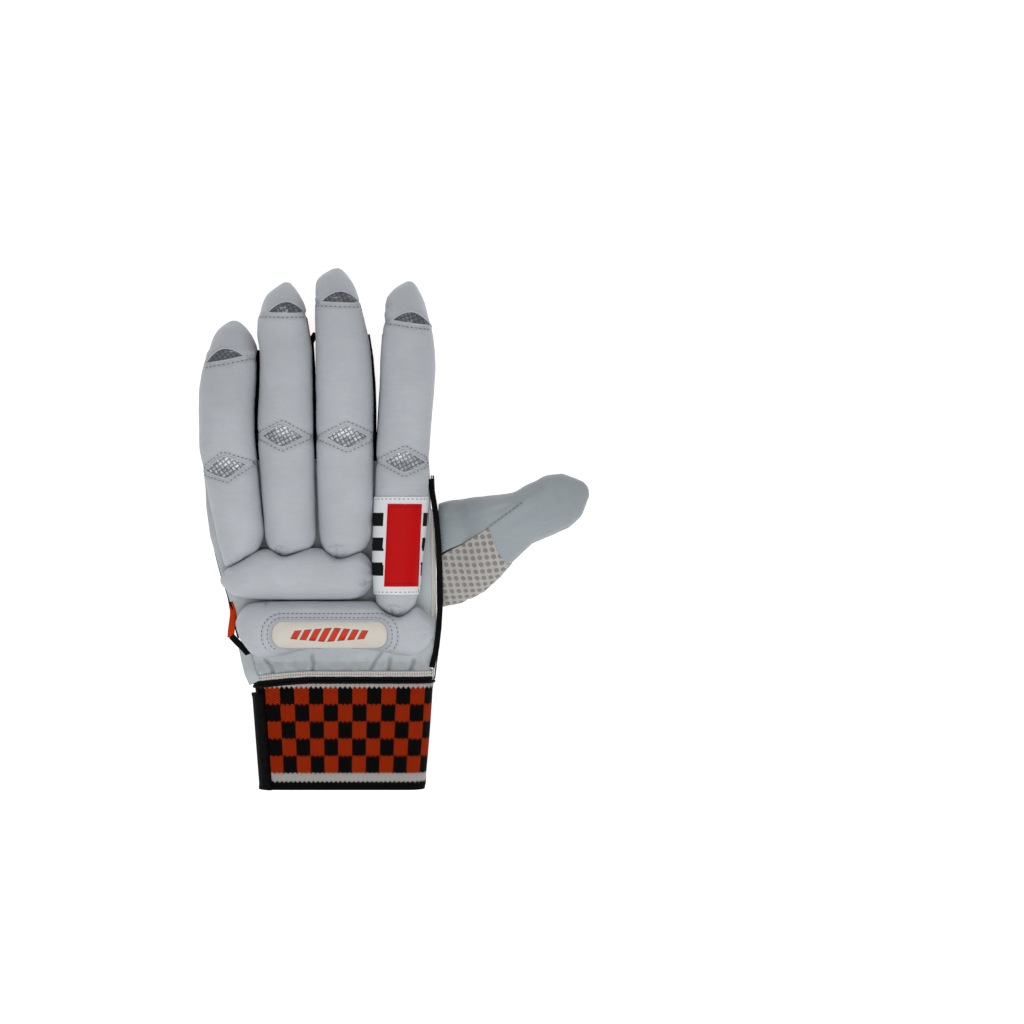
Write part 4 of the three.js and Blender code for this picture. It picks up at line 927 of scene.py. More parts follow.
def finish(name):
    """A material by its name, built when it is first asked for."""
    colours = bpy.context.scene.glove_colours
    black, orange = tuple(colours.black), tuple(colours.orange)
    silver, white = tuple(colours.silver), tuple(colours.white)
    builders = {
        "padded_leather": lambda: leather("padded_leather", tuple(colours.leather), 0.52, 0.00006, 0.00005),
        "palm_leather": lambda: leather("palm_leather", tuple(colours.palm), 0.58, 0.00008, 0.00004),
        # The thumb leather is painted shade: the darker thumb colour for the thumb, its floor and the vent
        # rims.
        "thumb_leather": lambda: leather("thumb_leather", tuple(colours.thumb), 0.6, 0.00008, 0.00003),
        "silver_weave": lambda: woven_insert("silver_weave", silver, (0.72, 0.73, 0.77)),
        # Painted shade: the tip windows' weave is a darker copy of the silver weave with dimmer glints, as
        # they face away from the light.
        "shaded_weave": lambda: woven_insert("shaded_weave", shaded(silver, 0.42), (0.16, 0.16, 0.17)),
        "badge_resin": badge_face,
        "label_print": label_face,
        "label_panel": panel_face,
        "checked_knit": knitted_cuff,
        "black_tape": lambda: tape("black_tape", black, 1.1 * MM),
        "cream_tape": lambda: tape("cream_tape", shaded(white, 1.2), 0.9 * MM, 0),
        "orange_cord": lambda: tape("orange_cord", orange, 0.9 * MM),
        "seam_tape": lambda: tape("seam_tape", black, 1.3 * MM, 0),
        # The nets' hole colours are painted shade: darker copies of their yarns.
        "orange_net": lambda: net("orange_net", orange, (0.05, 0.012, 0.004), NET_PITCH, NET_HOLE, 1),
        "white_net": lambda: net("white_net", white, (0.27, 0.26, 0.245), THUMB_DOT_PITCH,
                                 THUMB_DOT_RADIUS, 0),
        "strap_fabric": strap_fabric,
        "moulded_rubber": moulded_rubber,
        "sewing_thread": sewing_thread,
        "painted_hole_shade": hole_shade_finish,
        "floor_paper": floor_paper,
    }
    return bpy.data.materials.get(name) or builders[name]()


# Windows in the rolls' leather, and the lines that are sewn
class Window:
    """An opening seen from above: a lens, or a crescent on a nearly straight base."""

    def __init__(self, x, y, half, up, down, tilt=0.0, power=1.35):
        self.centre = np.array([x, y])
        self.half, self.up, self.down, self.power = half, up, down, power
        turn = math.radians(tilt)
        self.turn = np.array([[math.cos(turn), -math.sin(turn)], [math.sin(turn), math.cos(turn)]])

    def grown(self, margin):
        """The same window with its edge moved out."""
        made = Window(*self.centre, self.half + 1.7 * margin, self.up + margin, self.down + margin)
        made.turn, made.power = self.turn, self.power
        return made

    def edge(self, share, side):
        height = self.up if side > 0 else self.down
        return side * height * (1 - np.abs(share) ** self.power)

    def at(self, share, up):
        return self.centre + np.stack([share * self.half, up], axis=-1) @ self.turn.T

    def outline(self, count=26):
        share = np.linspace(1, -1, count)
        top = self.at(share, self.edge(share, 1))
        bottom = self.at(share[::-1], self.edge(share[::-1], -1))
        return np.concatenate([top, bottom[1:-1]])

    def away(self, plan):
        """Distance from the edge, below zero inside."""
        local = (plan - self.centre) @ self.turn
        share, up = local[:, 0] / self.half, local[:, 1]
        inside = (np.abs(share) < 1) & (up < self.edge(share, 1)) & (up > self.edge(share, -1))
        apart = distance_to(plan, self.outline(), closed=True)
        return np.where(inside, -apart, apart)


def windows_of(finger):
    """The finger's knuckle window and its tip window, where its inserts are."""
    low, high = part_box(f"{finger}_knuckle_inset")
    middle, half = (low + high) / 2, (high - low) / 2
    knuckle = Window(middle.x, middle.y, half.x, half.y, half.y, WINDOW_TILT[finger])
    low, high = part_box(f"{finger}_tip_inset")
    middle, size = (low + high) / 2, high - low
    tip = Window(middle.x, low.y - TIP_SHIFT, size.x / 2, size.y, 0.5 * MM, TIP_TILT[finger], 1.9)
    return knuckle, tip


SURFACES = {}
SEWN = []


def sew(surface, plan, closed=False, lift=0.05 * MM):
    """Remembers a line to be stitched over a surface."""
    path = even(plan, 1.0 * MM, closed)
    if closed:
        path = np.concatenate([path, path[:1]])
    points, ups = dropped(SURFACES[surface], path)
    SEWN.append((points + ups * lift, ups))


class Roll:
    """A finger's padded roll: its sections along Y, read from its solids' rings."""

    def __init__(self, finger):
        nodes = [f"{finger}_{part}" for part in ROLL_PARTS]
        points = np.concatenate([points_of(NODES[node].data) for node in nodes])
        points = points[np.argsort(points[:, 1])]
        breaks = np.flatnonzero(np.diff(points[:, 1]) > 5e-5) + 1
        rings = [ring for ring in np.split(points, breaks) if np.ptp(ring[:, 0]) > 0]
        self.y = np.array([ring[:, 1].mean() for ring in rings])
        self.left = np.array([ring[:, 0].min() for ring in rings])
        self.right = np.array([ring[:, 0].max() for ring in rings])
        self.bottom = np.array([ring[:, 2].min() for ring in rings])
        self.top = np.array([ring[:, 2].max() for ring in rings])
        self.nodes = nodes

    def limits(self, y):
        return [monotone(self.y, table, y) for table in (self.left, self.right, self.bottom, self.top)]

    def at(self, y, turn):
        """Points of the section at y: round over the top and flatter beneath."""
        left, right, bottom, top = self.limits(y)
        across, up = np.cos(turn), np.sin(turn)
        power = np.where(up < 0, 0.62, 0.86)
        x = (left + right) / 2 + (right - left) / 2 * np.sign(across) * np.abs(across) ** power
        z = (bottom + top) / 2 + (top - bottom) / 2 * np.sign(up) * np.abs(up) ** power
        return np.stack(np.broadcast_arrays(x, y, z), axis=-1)

    def width_at(self, y):
        left, right, *_ = self.limits(np.array([y]))
        return left[0], right[0]


def roll_lines(finger, roll):
    """What is sewn across a roll: the diamond round its knuckle window and its tip seam."""
    knuckle, tip = windows_of(finger)
    left, right = roll.width_at(knuckle.centre[1])
    reach = max(knuckle.centre[0] - left, right - knuckle.centre[0])
    diamond = Window(*knuckle.centre, reach * 1.08, knuckle.up + WINDOW_MARGIN,
                     knuckle.down + WINDOW_MARGIN, WINDOW_TILT[finger], 1.0)
    left, right = roll.width_at(tip.centre[1])
    reach = np.array([left - tip.centre[0], right - tip.centre[0]]) * 0.93
    share = np.linspace(-1, 1, SEAM_POINTS)
    across = np.where(share < 0, -share * reach[0], share * reach[1])
    dipped = -TIP_SEAM_DROP - 0.5 * MM * (1 - np.abs(share))
    local = np.stack([across, dipped], axis=-1)
    stitched = tip.centre + local @ tip.turn.T
    seam = tip.centre + np.stack([across, np.full_like(share, -0.2 * MM)], axis=-1) @ tip.turn.T
    return diamond, stitched, seam


def roll_relief(finger, roll, points, normals):
    """How far the leather stands out from the plain roll, and the painted shade in its seams, grooves, heel
    creases and along the windows' edges.
    """
    size = sizes()
    plan = points[:, :2]
    facing = smooth(normals[:, 2] / 0.3)
    knuckle, tip = windows_of(finger)
    diamond, stitched, seam = roll_lines(finger, roll)
    relief = size.sag * waves(points, 15 * MM, (1, 1.4, 1), 3.1 * FINGERS.index(finger))
    relief += size.crease * waves(points, 2.6 * MM, (4.5, 1, 3), 7.7)
    # Painted shade: darker along the windows' edges, the sewn lines, the tip seam and the heel creases.
    painted_shade = np.zeros(len(points))
    for window in (knuckle, tip):
        away = window.away(plan)
        rise = smooth((away + 0.5 * MM) / (0.9 * MM)) * np.exp(-np.maximum(away, 0) / LIP_REACH)
        relief += facing * (size.lip * rise - 0.6 * MM * smooth(-away / (0.9 * MM)))
        painted_shade = np.maximum(painted_shade, 0.2 * hump(away - 0.6 * MM, 0.7 * MM) * facing)
    for path, closed, deep in ((diamond.outline(), True, 1.0), (stitched, False, 0.8)):
        line = hump(distance_to(plan, path, closed), size.groove_width)
        relief -= facing * size.groove * deep * line
        painted_shade = np.maximum(painted_shade, 0.45 * line * facing)
    seam_line = distance_to(plan, seam)
    outside = smooth((tip.away(plan) - 0.3 * MM) / (1.5 * MM))
    relief -= facing * outside * 0.8 * MM * hump(seam_line, 1.4 * MM)
    painted_shade = np.maximum(painted_shade, 0.6 * facing * outside * hump(seam_line, 0.7 * MM))
    heel, end = roll.y[0], roll.y[-1]
    centre = HEEL_PINCH[finger] * MM
    near = np.exp(-(points[:, 1] - heel) / (4.5 * MM))
    turn = np.arctan2(points[:, 2] - 0.026, points[:, 0] - centre)
    relief += 0.32 * MM * near * np.sin(9 * turn + 1.7 * FINGERS.index(finger)) * np.sin(2.5 * turn)
    sunk, marked = pinches(points, normals, HEEL_CREASES[finger])
    relief += 0.6 * sunk
    painted_shade = np.maximum(painted_shade, 0.65 * marked)
    near_tip = np.exp(-(end - points[:, 1]) / (3.5 * MM))
    relief += 0.2 * MM * near_tip * np.sin(7 * turn)
    return relief, painted_shade


def finger_roll(finger):
    roll = Roll(finger)
    start, end = roll.y[0], roll.y[-1]
    share = np.linspace(0, 1, int((end - start) / detail().step))
    y = start + (end - start) * (share - 0.72 * np.sin(2 * math.pi * share) / (2 * math.pi))
    turn = np.arange(detail().around) * 2 * math.pi / detail().around
    rings = roll.at(y[:, None], turn[None, :])
    piece = capped(f"{finger}_finger_roll", rings, finish("padded_leather"))
    relax(piece.data, 3)
    SURFACES[finger + "_plain"] = tree_of(piece)
    points, normals = points_of(piece.data), normals_of(piece.data)
    relief, painted_shade = roll_relief(finger, roll, points, normals)
    put_points(piece.data, points + normals * relief[:, None])
    # The painted shade is kept in the 'seam' attribute.
    mark(piece, "seam", painted_shade)
    SURFACES[finger] = tree_of(piece)
    diamond, stitched, _ = roll_lines(finger, roll)
    sew(finger, diamond.outline(), closed=True)
    sew(finger, stitched)
    return keep(piece, "roll_leather", *roll.nodes, fill=0.9)


def laid(name, surface, outer_plan, lift, thickness, material):
    """A sheet laid over a surface at a height, from a grid of places in plan."""
    rows, columns = outer_plan.shape[:2]
    points, normals = dropped(SURFACES[surface], outer_plan.reshape(-1, 2))
    normals = even_out(normals.reshape(rows, columns, 3))
    points = points.reshape(rows, columns, 3)
    return walled(name, points + normals * lift, points + normals * (lift - thickness), material)


def even_out(grid, passes=2):
    """A grid of directions with the steps between facets smoothed away."""
    for _ in range(passes):
        padded = np.pad(grid, ((1, 1), (1, 1), (0, 0)), mode="edge")
        grid = (padded[:-2, 1:-1] + padded[2:, 1:-1] + padded[1:-1, :-2] + padded[1:-1, 2:] + 2 * grid) / 6
    return grid / np.linalg.norm(grid, axis=-1, keepdims=True)


def window_weave(name, surface, window, lift, material):
    """The woven insert that shows through a window."""
    columns, rows = 46, 18
    share = np.linspace(-0.985, 0.985, columns)[None, :]
    up = np.linspace(0, 1, rows)[:, None]
    grown = window.grown(0.3 * MM)
    low, high = grown.edge(share, -1), grown.edge(share, 1)
    across = np.broadcast_to(share, (rows, columns))
    plan = grown.at(across, low + (high - low) * up)
    piece = laid(name, surface, plan, lift, WEAVE_WALL, finish(material))
    local = (plan.reshape(-1, 2) - window.centre) @ window.turn / MM
    lay_pattern(piece, np.concatenate([local, local]))
    return piece


class GLOVE_OT_finger_rolls(bpy.types.Operator):
    """Builds the four fingers' padded rolls"""

    bl_idname = "glove.finger_rolls"
    bl_label = "Finger rolls"

    def execute(self, context):
        for finger in FINGERS:
            finger_roll(finger)
        return {"FINISHED"}


class GLOVE_OT_windows(bpy.types.Operator):
    """Lays the woven inserts in the rolls' windows and turns the leather's edge over"""

    bl_idname = "glove.windows"
    bl_label = "Windows"

    def execute(self, context):
        edges = []
        for finger in FINGERS:
            plain = f"{finger}_plain"
            # The tip windows take the weave painted darker as shade.
            places = zip(("knuckle", "tip"), windows_of(finger), ("silver_weave", "shaded_weave"))
            for place, window, weave in places:
                piece = window_weave(f"{finger}_{place}_weave", plain, window, WEAVE_LIFT, weave)
                keep(piece, "weave_insert", f"{finger}_{place}_inset")
                path = even(window.outline(), 0.6 * MM, closed=True)
                points, ups = dropped(SURFACES[plain], path)
                ups = even_out(ups[None], 4)[0]
                edges.append((points + ups * WINDOW_RIM, ups, True))
        rims = swept("window_edges", edges, half_round(1.0 * MM, 0.42 * MM), finish("padded_leather"))
        mark(rims, "seam", np.zeros(len(rims.data.vertices)))
        keep(rims, "roll_leather")
        return {"FINISHED"}


# Rolls across the back
def rounded_rectangle(x, y, half_length, half_width, corner, count=9):
    path = []
    for quarter, (right, up) in enumerate(((1, 1), (-1, 1), (-1, -1), (1, -1))):
        for share in np.linspace(0, 1, count):
            turn = (quarter + share) * math.pi / 2
            path.append((x + right * (half_length - corner) + corner * math.cos(turn),
                         y + up * (half_width - corner) + corner * math.sin(turn)))
    return np.array(path)


def badge_outline(margin):
    low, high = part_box("badge")
    x, y = (low.x + high.x) / 2, (low.y + high.y) / 2
    half_width = (high.y - low.y) / 2
    path = rounded_rectangle(x, y, (high.x - low.x) / 2 + margin, half_width + margin * 0.72,
                             0.86 * half_width + margin * 0.72)
    bow = 0.8 * MM * ((path[:, 0] - x) / (high.x - x)) ** 2
    path[:, 1] -= bow
    return path


def inside_of(plan, path):
    """Whether places in plan are inside a closed path."""
    x, y = plan.T
    inside = np.zeros(len(plan), bool)
    for (ax, ay), (bx, by) in zip(path, np.roll(path, -1, axis=0)):
        crosses = (ay > y) != (by > y)
        with np.errstate(divide="ignore", invalid="ignore"):
            inside ^= crosses & (x < (bx - ax) * (y - ay) / (by - ay) + ax)
    return inside


def cross_roll(name, node, extra):
    """A roll across the back, remade from its solid so that it keeps its dents."""
    piece = remeshed(name, node, finish("padded_leather"), detail().voxel, 26, 0.3 * MM)
    SURFACES[node + "_plain"] = tree_of(piece)
    points, normals = points_of(piece.data), normals_of(piece.data)
    low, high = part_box(node)
    size = sizes()
    relief = size.sag * waves(points, 14 * MM, (1.5, 1, 1), 11.0)
    relief += size.crease * waves(points, 2.6 * MM, (1, 4, 3), 5.0)
    turn = np.arctan2(points[:, 2] - (low.z + high.z) / 2, points[:, 1] - (low.y + high.y) / 2)
    for end in (low.x, high.x):
        near = np.exp(-np.abs(points[:, 0] - end) / (5 * MM))
        relief += 0.35 * MM * near * np.sin(8 * turn + 40 * end)
    # Painted shade from the roll's extra relief, kept in the 'seam' attribute.
    more, painted_shade = extra(points, normals)
    put_points(piece.data, points + normals * (relief + more)[:, None])
    mark(piece, "seam", painted_shade)
    SURFACES[node] = tree_of(piece)
    return keep(piece, "roll_leather", node, fill=0.9)


def wrist_relief(points, normals):
    """The leather rises round the badge, and two sewn lines run round it, with painted shade at the badge's
    edge, along the lines and in the pinches.
    """
    size = sizes()
    plan = points[:, :2]
    facing = smooth(normals[:, 2] / 0.3)
    edge = badge_outline(0.4 * MM)
    away = distance_to(plan, edge, closed=True)
    away = np.where(inside_of(plan, edge), -away, away)
    above = smooth((plan[:, 1] - edge[:, 1].mean() + 5 * MM) / (9 * MM))
    rise = smooth((away + 1.0 * MM) / (1.4 * MM)) * np.exp(-np.maximum(away, 0) / (8 * MM))
    relief = facing * (0.15 + 0.75 * above) * MM * rise
    # Painted shade round the badge's edge and along its sewn lines.
    painted_shade = 0.5 * facing * hump(away, 0.8 * MM)
    for margin in BADGE_RINGS:
        line = hump(distance_to(plan, badge_outline(margin), closed=True), size.groove_width)
        relief -= facing * size.groove * line
        painted_shade = np.maximum(painted_shade, 0.25 * facing * line)
    pinched, marked = pinches(points, normals, WRIST_PINCHES)
    return relief + pinched, np.maximum(painted_shade, marked)


def pinches(points, normals, marks):
    """Short creases where a roll is drawn together, each a path in plan in millimetres, with painted shade
    along them.
    """
    facing = smooth(normals[:, 2] / 0.3)
    relief, painted_shade = np.zeros(len(points)), np.zeros(len(points))
    for path in marks:
        apart = distance_to(points[:, :2], np.array(path) * MM)
        relief -= 0.6 * MM * hump(apart, 0.8 * MM) * facing
        # Painted shade along the crease.
        painted_shade = np.maximum(painted_shade, 0.8 * hump(apart, 0.5 * MM) * facing)
    return relief, painted_shade


def knuckle_relief(points, normals):
    return pinches(points, normals, KNUCKLE_PINCHES)


class GLOVE_OT_cross_rolls(bpy.types.Operator):
    """Builds the padded rolls across the knuckles and the wrist"""

    bl_idname = "glove.cross_rolls"
    bl_label = "Cross rolls"

    def execute(self, context):
        cross_roll("knuckle_roll_cover", "knuckle_roll", knuckle_relief)
        cross_roll("wrist_roll_cover", "wrist_roll", wrist_relief)
        return {"FINISHED"}


class GLOVE_OT_badge(bpy.types.Operator):
    """Moulds the domed badge and its rim on the wrist roll"""

    bl_idname = "glove.badge"
    bl_label = "Badge"

    def execute(self, context):
        edge = badge_outline(0.0)
        centre = edge.mean(0)
        shares = np.concatenate([np.linspace(0.04, 0.9, 14), [0.95, 0.985, 1.0]])
        rings = []
        for share in shares:
            plan = centre + (edge - centre) * share
            points, normals = dropped(SURFACES["wrist_roll_plain"], plan)
            dome = BADGE_DOME * (1 - share**6) + BADGE_EDGE
            rings.append(points + np.array([0, 0, 0.25]) * dome + normals * 0.75 * dome)
        outer = np.array(rings)
        points, normals = dropped(SURFACES["wrist_roll_plain"], edge)
        inner = points[None] + normals[None] * 0.1 * MM
        piece = capped("badge_dome", np.concatenate([outer, inner]), finish("badge_resin"))
        relax(piece.data, 2, 0.3)
        places = (points_of(piece.data)[:, :2] - centre) / MM
        lay_pattern(piece, places)
        keep(piece, "badge", "badge")
        path = even(badge_outline(0.35 * MM), 0.9 * MM, closed=True)
        points, ups = dropped(SURFACES["wrist_roll_plain"], path)
        ups = even_out(ups[None])[0]
        rim = swept("badge_rim", [(points + ups * 0.45 * MM, ups, True)], half_round(1.0 * MM, 0.4 * MM),
                    finish("padded_leather"))
        # Painted shade: the rim is darkened evenly through the 'seam' attribute.
        mark(rim, "seam", np.full(len(rim.data.vertices), 0.45))
        keep(rim, "roll_leather")
        for margin in BADGE_RINGS:
            ring = even(badge_outline(margin), 1.0 * MM, closed=True)
            shown = ring[:, 1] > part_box("badge")[0].y - RING_DROP
            first = int(np.flatnonzero(shown & ~np.roll(shown, 1))[0])
            sew("wrist_roll", np.roll(ring, -first, axis=0)[np.roll(shown, -first)])
        return {"FINISHED"}


# Label round the index roll
def label_sheet(name, roll, y_limits, turn_limits, lift, material, columns=64, rows=72):
    """A sheet round a roll's crown, with its pattern measured from the crown."""
    y = np.linspace(*y_limits, rows)[:, None]
    first, last = [np.broadcast_to(limit, (rows,))[:, None] for limit in turn_limits]
    turn = first + (last - first) * np.linspace(0, 1, columns)[None, :]
    grid = roll.at(y, turn)
    across = np.gradient(grid, axis=1)
    along = np.gradient(grid, axis=0)
    out = np.cross(across, along)
    out /= np.linalg.norm(out, axis=-1, keepdims=True)
    out *= np.sign(out[..., 2:].mean())
    piece = walled(name, grid + out * lift, grid + out * (lift - LABEL_WALL), material)
    steps = np.linalg.norm(np.diff(grid, axis=1), axis=-1)
    arc = np.concatenate([np.zeros((rows, 1)), np.cumsum(steps, axis=1)], axis=1)
    low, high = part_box("label_patch")
    crown = np.argmin(np.abs(grid[..., 0] - (low.x + high.x) / 2), axis=1)
    from_crown = arc - arc[np.arange(rows), crown][:, None]
    return piece, from_crown, np.broadcast_to(y, (rows, columns))


class GLOVE_OT_label(bpy.types.Operator):
    """Wraps the label and its panel round the index roll's heel"""

    bl_idname = "glove.label"
    bl_label = "Label"

    def execute(self, context):
        roll = Roll("index")
        low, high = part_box("label_band")
        band, arc, along = label_sheet("label_wrap", roll, (low.y, high.y), LABEL_REACH, LABEL_LIFT,
                                       finish("label_print"))
        places = np.stack([arc, along], axis=-1).reshape(-1, 2) / MM
        lay_pattern(band, np.concatenate([places, places]))
        keep(band, "label_white", "label_band")
        panel_low, panel_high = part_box("label_patch")
        along = np.linspace(0, 1, 60)
        left, right, *_ = roll.limits(panel_low.y + (panel_high.y - panel_low.y) * along)
        middle, half = (left + right) / 2, (right - left) / 2
        turn_at = []
        for x, (lower, upper) in zip((panel_low.x, panel_high.x), PANEL_LEAN):
            share = np.clip((x + lower + (upper - lower) * along - middle) / half, -0.98, 0.98)
            turn_at.append(np.arccos(np.sign(share) * np.abs(share) ** (1 / 0.86)))
        panel, arc, _ = label_sheet("label_panel_face", roll, (panel_low.y, panel_high.y), turn_at,
                                    PANEL_LIFT, finish("label_panel"), 40, 60)
        rows, columns = arc.shape
        u, v = np.meshgrid(np.linspace(-1, 1, columns), np.linspace(-1, 1, rows))
        places = np.stack([u, v], axis=-1).reshape(-1, 2)
        lay_pattern(panel, np.concatenate([places, places]))
        keep(panel, "label_red", "label_patch")
        SURFACES["label"] = tree_of(band)
        across = np.linspace(low.x + LABEL_SEAM, high.x - LABEL_SEAM, 24)
        for y in (low.y + LABEL_SEAM, high.y - LABEL_SEAM):
            sew("label", np.stack([across, np.full_like(across, y)], axis=-1), lift=0.0)
        return {"FINISHED"}


# Leather shell
def rippled(piece, direction, amount, seam=None):
    """Moves both faces of a thin wall together."""
    points = points_of(piece.data)
    put_points(piece.data, points + direction(points) * amount(points)[:, None])
    # The optional seam function gives painted shade for the 'seam' attribute.
    mark(piece, "seam", np.zeros(len(points)) if seam is None else seam(points))
    return piece


def upwards(points):
    return np.broadcast_to(np.array([0.0, 0.0, 1.0]), points.shape)


def palm_ripple(points):
    folds = 0.35 * MM * waves(points, 12 * MM, (1, 1.6, 1), 21.0)
    fine = 0.12 * MM * waves(points, 3.5 * MM, (2.5, 1, 1), 4.0)
    return np.maximum(folds + fine, 0.05 * MM - points[:, 2])


def wrist_ripple(points):
    """Gathers that run down from the wrist roll to the cuff."""
    low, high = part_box("wrist_gather")
    down = (high.y - points[:, 1]) / (high.y - low.y)
    window = np.sin(math.pi * np.clip(down, 0, 1)) ** 0.7
    flat = np.stack([points[:, 0], points[:, 1] * 0.22, np.zeros(len(points))], axis=1)
    folds = waves(flat, 7 * MM, (1, 1, 1), 8.0)
    fine = 0.25 * waves(flat, 2.2 * MM, (1, 1, 1), 2.0)
    top = (points[:, 2] > 0.008).astype(float)
    return top * (sizes().wrist_fold * window * (folds + fine) - 1.5 * MM * wrist_creases(points, 0.9 * MM))


def wrist_creases(points, width):
    """1 along the sharp creases of the gathers and 0 away from them."""
    apart = np.min([distance_to(points[:, :2], np.array(path) * MM) for path in WRIST_CREASES], axis=0)
    return hump(apart, width)


# Painted shade along the creases of the wrist gathers.
def wrist_crease_shade(points):
    return 0.8 * wrist_creases(points, 0.6 * MM)


class GLOVE_OT_shell(bpy.types.Operator):
    """Builds the palm, back and wrist leather and the tips' flaps"""

    bl_idname = "glove.shell"
    bl_label = "Leather shell"

    def execute(self, context):
        leather_face = finish("palm_leather")
        keep(rippled(rounded("palm_leather", ["palm_panel"], leather_face), upwards, palm_ripple),
             "leather", "palm_panel")
        keep(rippled(rounded("palm_patch_leather", ["palm_patch"], leather_face), upwards, palm_ripple),
             "leather", "palm_patch")
        keep(rippled(rounded("back_leather", ["back_panel"], leather_face, 1, 1), upwards,
                     lambda points: 0.15 * MM * waves(points, 9 * MM)),
             "leather", "back_panel")
        for finger in FINGERS:
            flap = rounded(f"{finger}_flap_leather", [f"{finger}_tip_flap"], leather_face)
            keep(rippled(flap, upwards, palm_ripple), "leather", f"{finger}_tip_flap")
        gather = rounded("gathered_leather", ["wrist_gather"], leather_face, 1, 3)
        points = points_of(gather.data)
        near_top = smooth((points[:, 1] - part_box("wrist_gather")[1].y + 4 * MM) / (4 * MM))
        reach = near_top * (points[:, 2] > 8 * MM)
        points += reach[:, None] * np.array(GATHER_REACH)
        put_points(gather.data, points)
        keep(rippled(gather, upwards, wrist_ripple, wrist_crease_shade), "leather", "wrist_gather")
        SURFACES["gather"] = tree_of(gather)
        return {"FINISHED"}


# Walls between palm and back
def side_net(name, node):
    """An orange net wall, its pattern laid along and up it."""
    piece = rounded(name, [node], finish("orange_net"), 1, 3)
    lay_pattern(piece, points_of(piece.data)[:, 1:] / MM)
    return keep(piece, "orange_mesh", node)


def wall_edges(node):
    """The low and high edges of the wall between two fingers, from one tip to the other."""
    points = points_of(NODES[node].data)
    low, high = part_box(node)
    middle = points[points[:, 1] < low.y + 2 * MM][:, 0].mean()
    edges = {"low": [], "high": []}
    for side in (-1, 1):
        group = points[(points[:, 0] - middle) * side > 0]
        group = group[np.argsort(group[:, 1])]
        breaks = np.flatnonzero(np.diff(group[:, 1]) > 0.6 * MM) + 1
        for edge, pick in (("low", np.argmin), ("high", np.argmax)):
            path = []
            for row in np.split(group, breaks):
                level = row[pick(row[:, 2]), 2]
                near = row[np.abs(row[:, 2] - level) < 0.3 * MM]
                path.append(near.mean(0))
            edges[edge].append(path[::-1] if side < 0 else path)
    return [np.array(edges[edge][0] + edges[edge][1]) for edge in ("low", "high")]


def beneath(tree, plan):
    """Where plumb lines from below meet a surface, and its normals there."""
    found = []
    for x, y in plan:
        place, normal, *_ = tree.ray_cast(Vector((x, y, -ABOVE)), -DOWN)
        if place is not None:
            found.append((*place, *normal))
    found = np.array(found)
    return found[:, :3], found[:, 3:]


class GLOVE_OT_palm(bpy.types.Operator):
    """Sews the palm's patch and sets the palm's vents"""

    bl_idname = "glove.palm"
    bl_label = "Palm"

    def execute(self, context):
        patch = bpy.data.objects["palm_patch_leather"]
        tree = tree_of(patch, bpy.data.objects["palm_leather"])
        plan = points_of(patch.data)[:, :2]
        middle = (plan.max(0) + plan.min(0)) / 2
        edge = plan[geometry.convex_hull_2d([tuple(place) for place in plan])]
        for share in PATCH_SEAMS:
            points, ups = beneath(tree, even(middle + (edge - middle) * share, 1.0 * MM, closed=True))
            SEWN.append((points + ups * 0.1 * MM, ups))
        ring = np.linspace(0, 2 * math.pi, 17)[:-1]
        round_edge = np.stack([np.cos(ring), np.sin(ring)], axis=1)
        runs = []
        for number, place in enumerate(VENTS):
            middle = np.array(place) * MM
            points, ups = beneath(tree, middle + round_edge * VENT_RADIUS)
            runs.append((points + ups * 0.1 * MM, ups, True))
            depth = ups.mean(0)
            disc = np.stack([points + depth * 0.12 * MM, points - depth * 0.3 * MM])
            # Painted shade: each vent is a dark disc, and its rim takes the darker thumb leather.
            keep(capped(f"vent_{number}", disc, finish("painted_hole_shade")), "leather")
        keep(swept("vent_rims", runs, half_round(0.7 * MM, 0.35 * MM), finish("thumb_leather")), "leather")
        return {"FINISHED"}


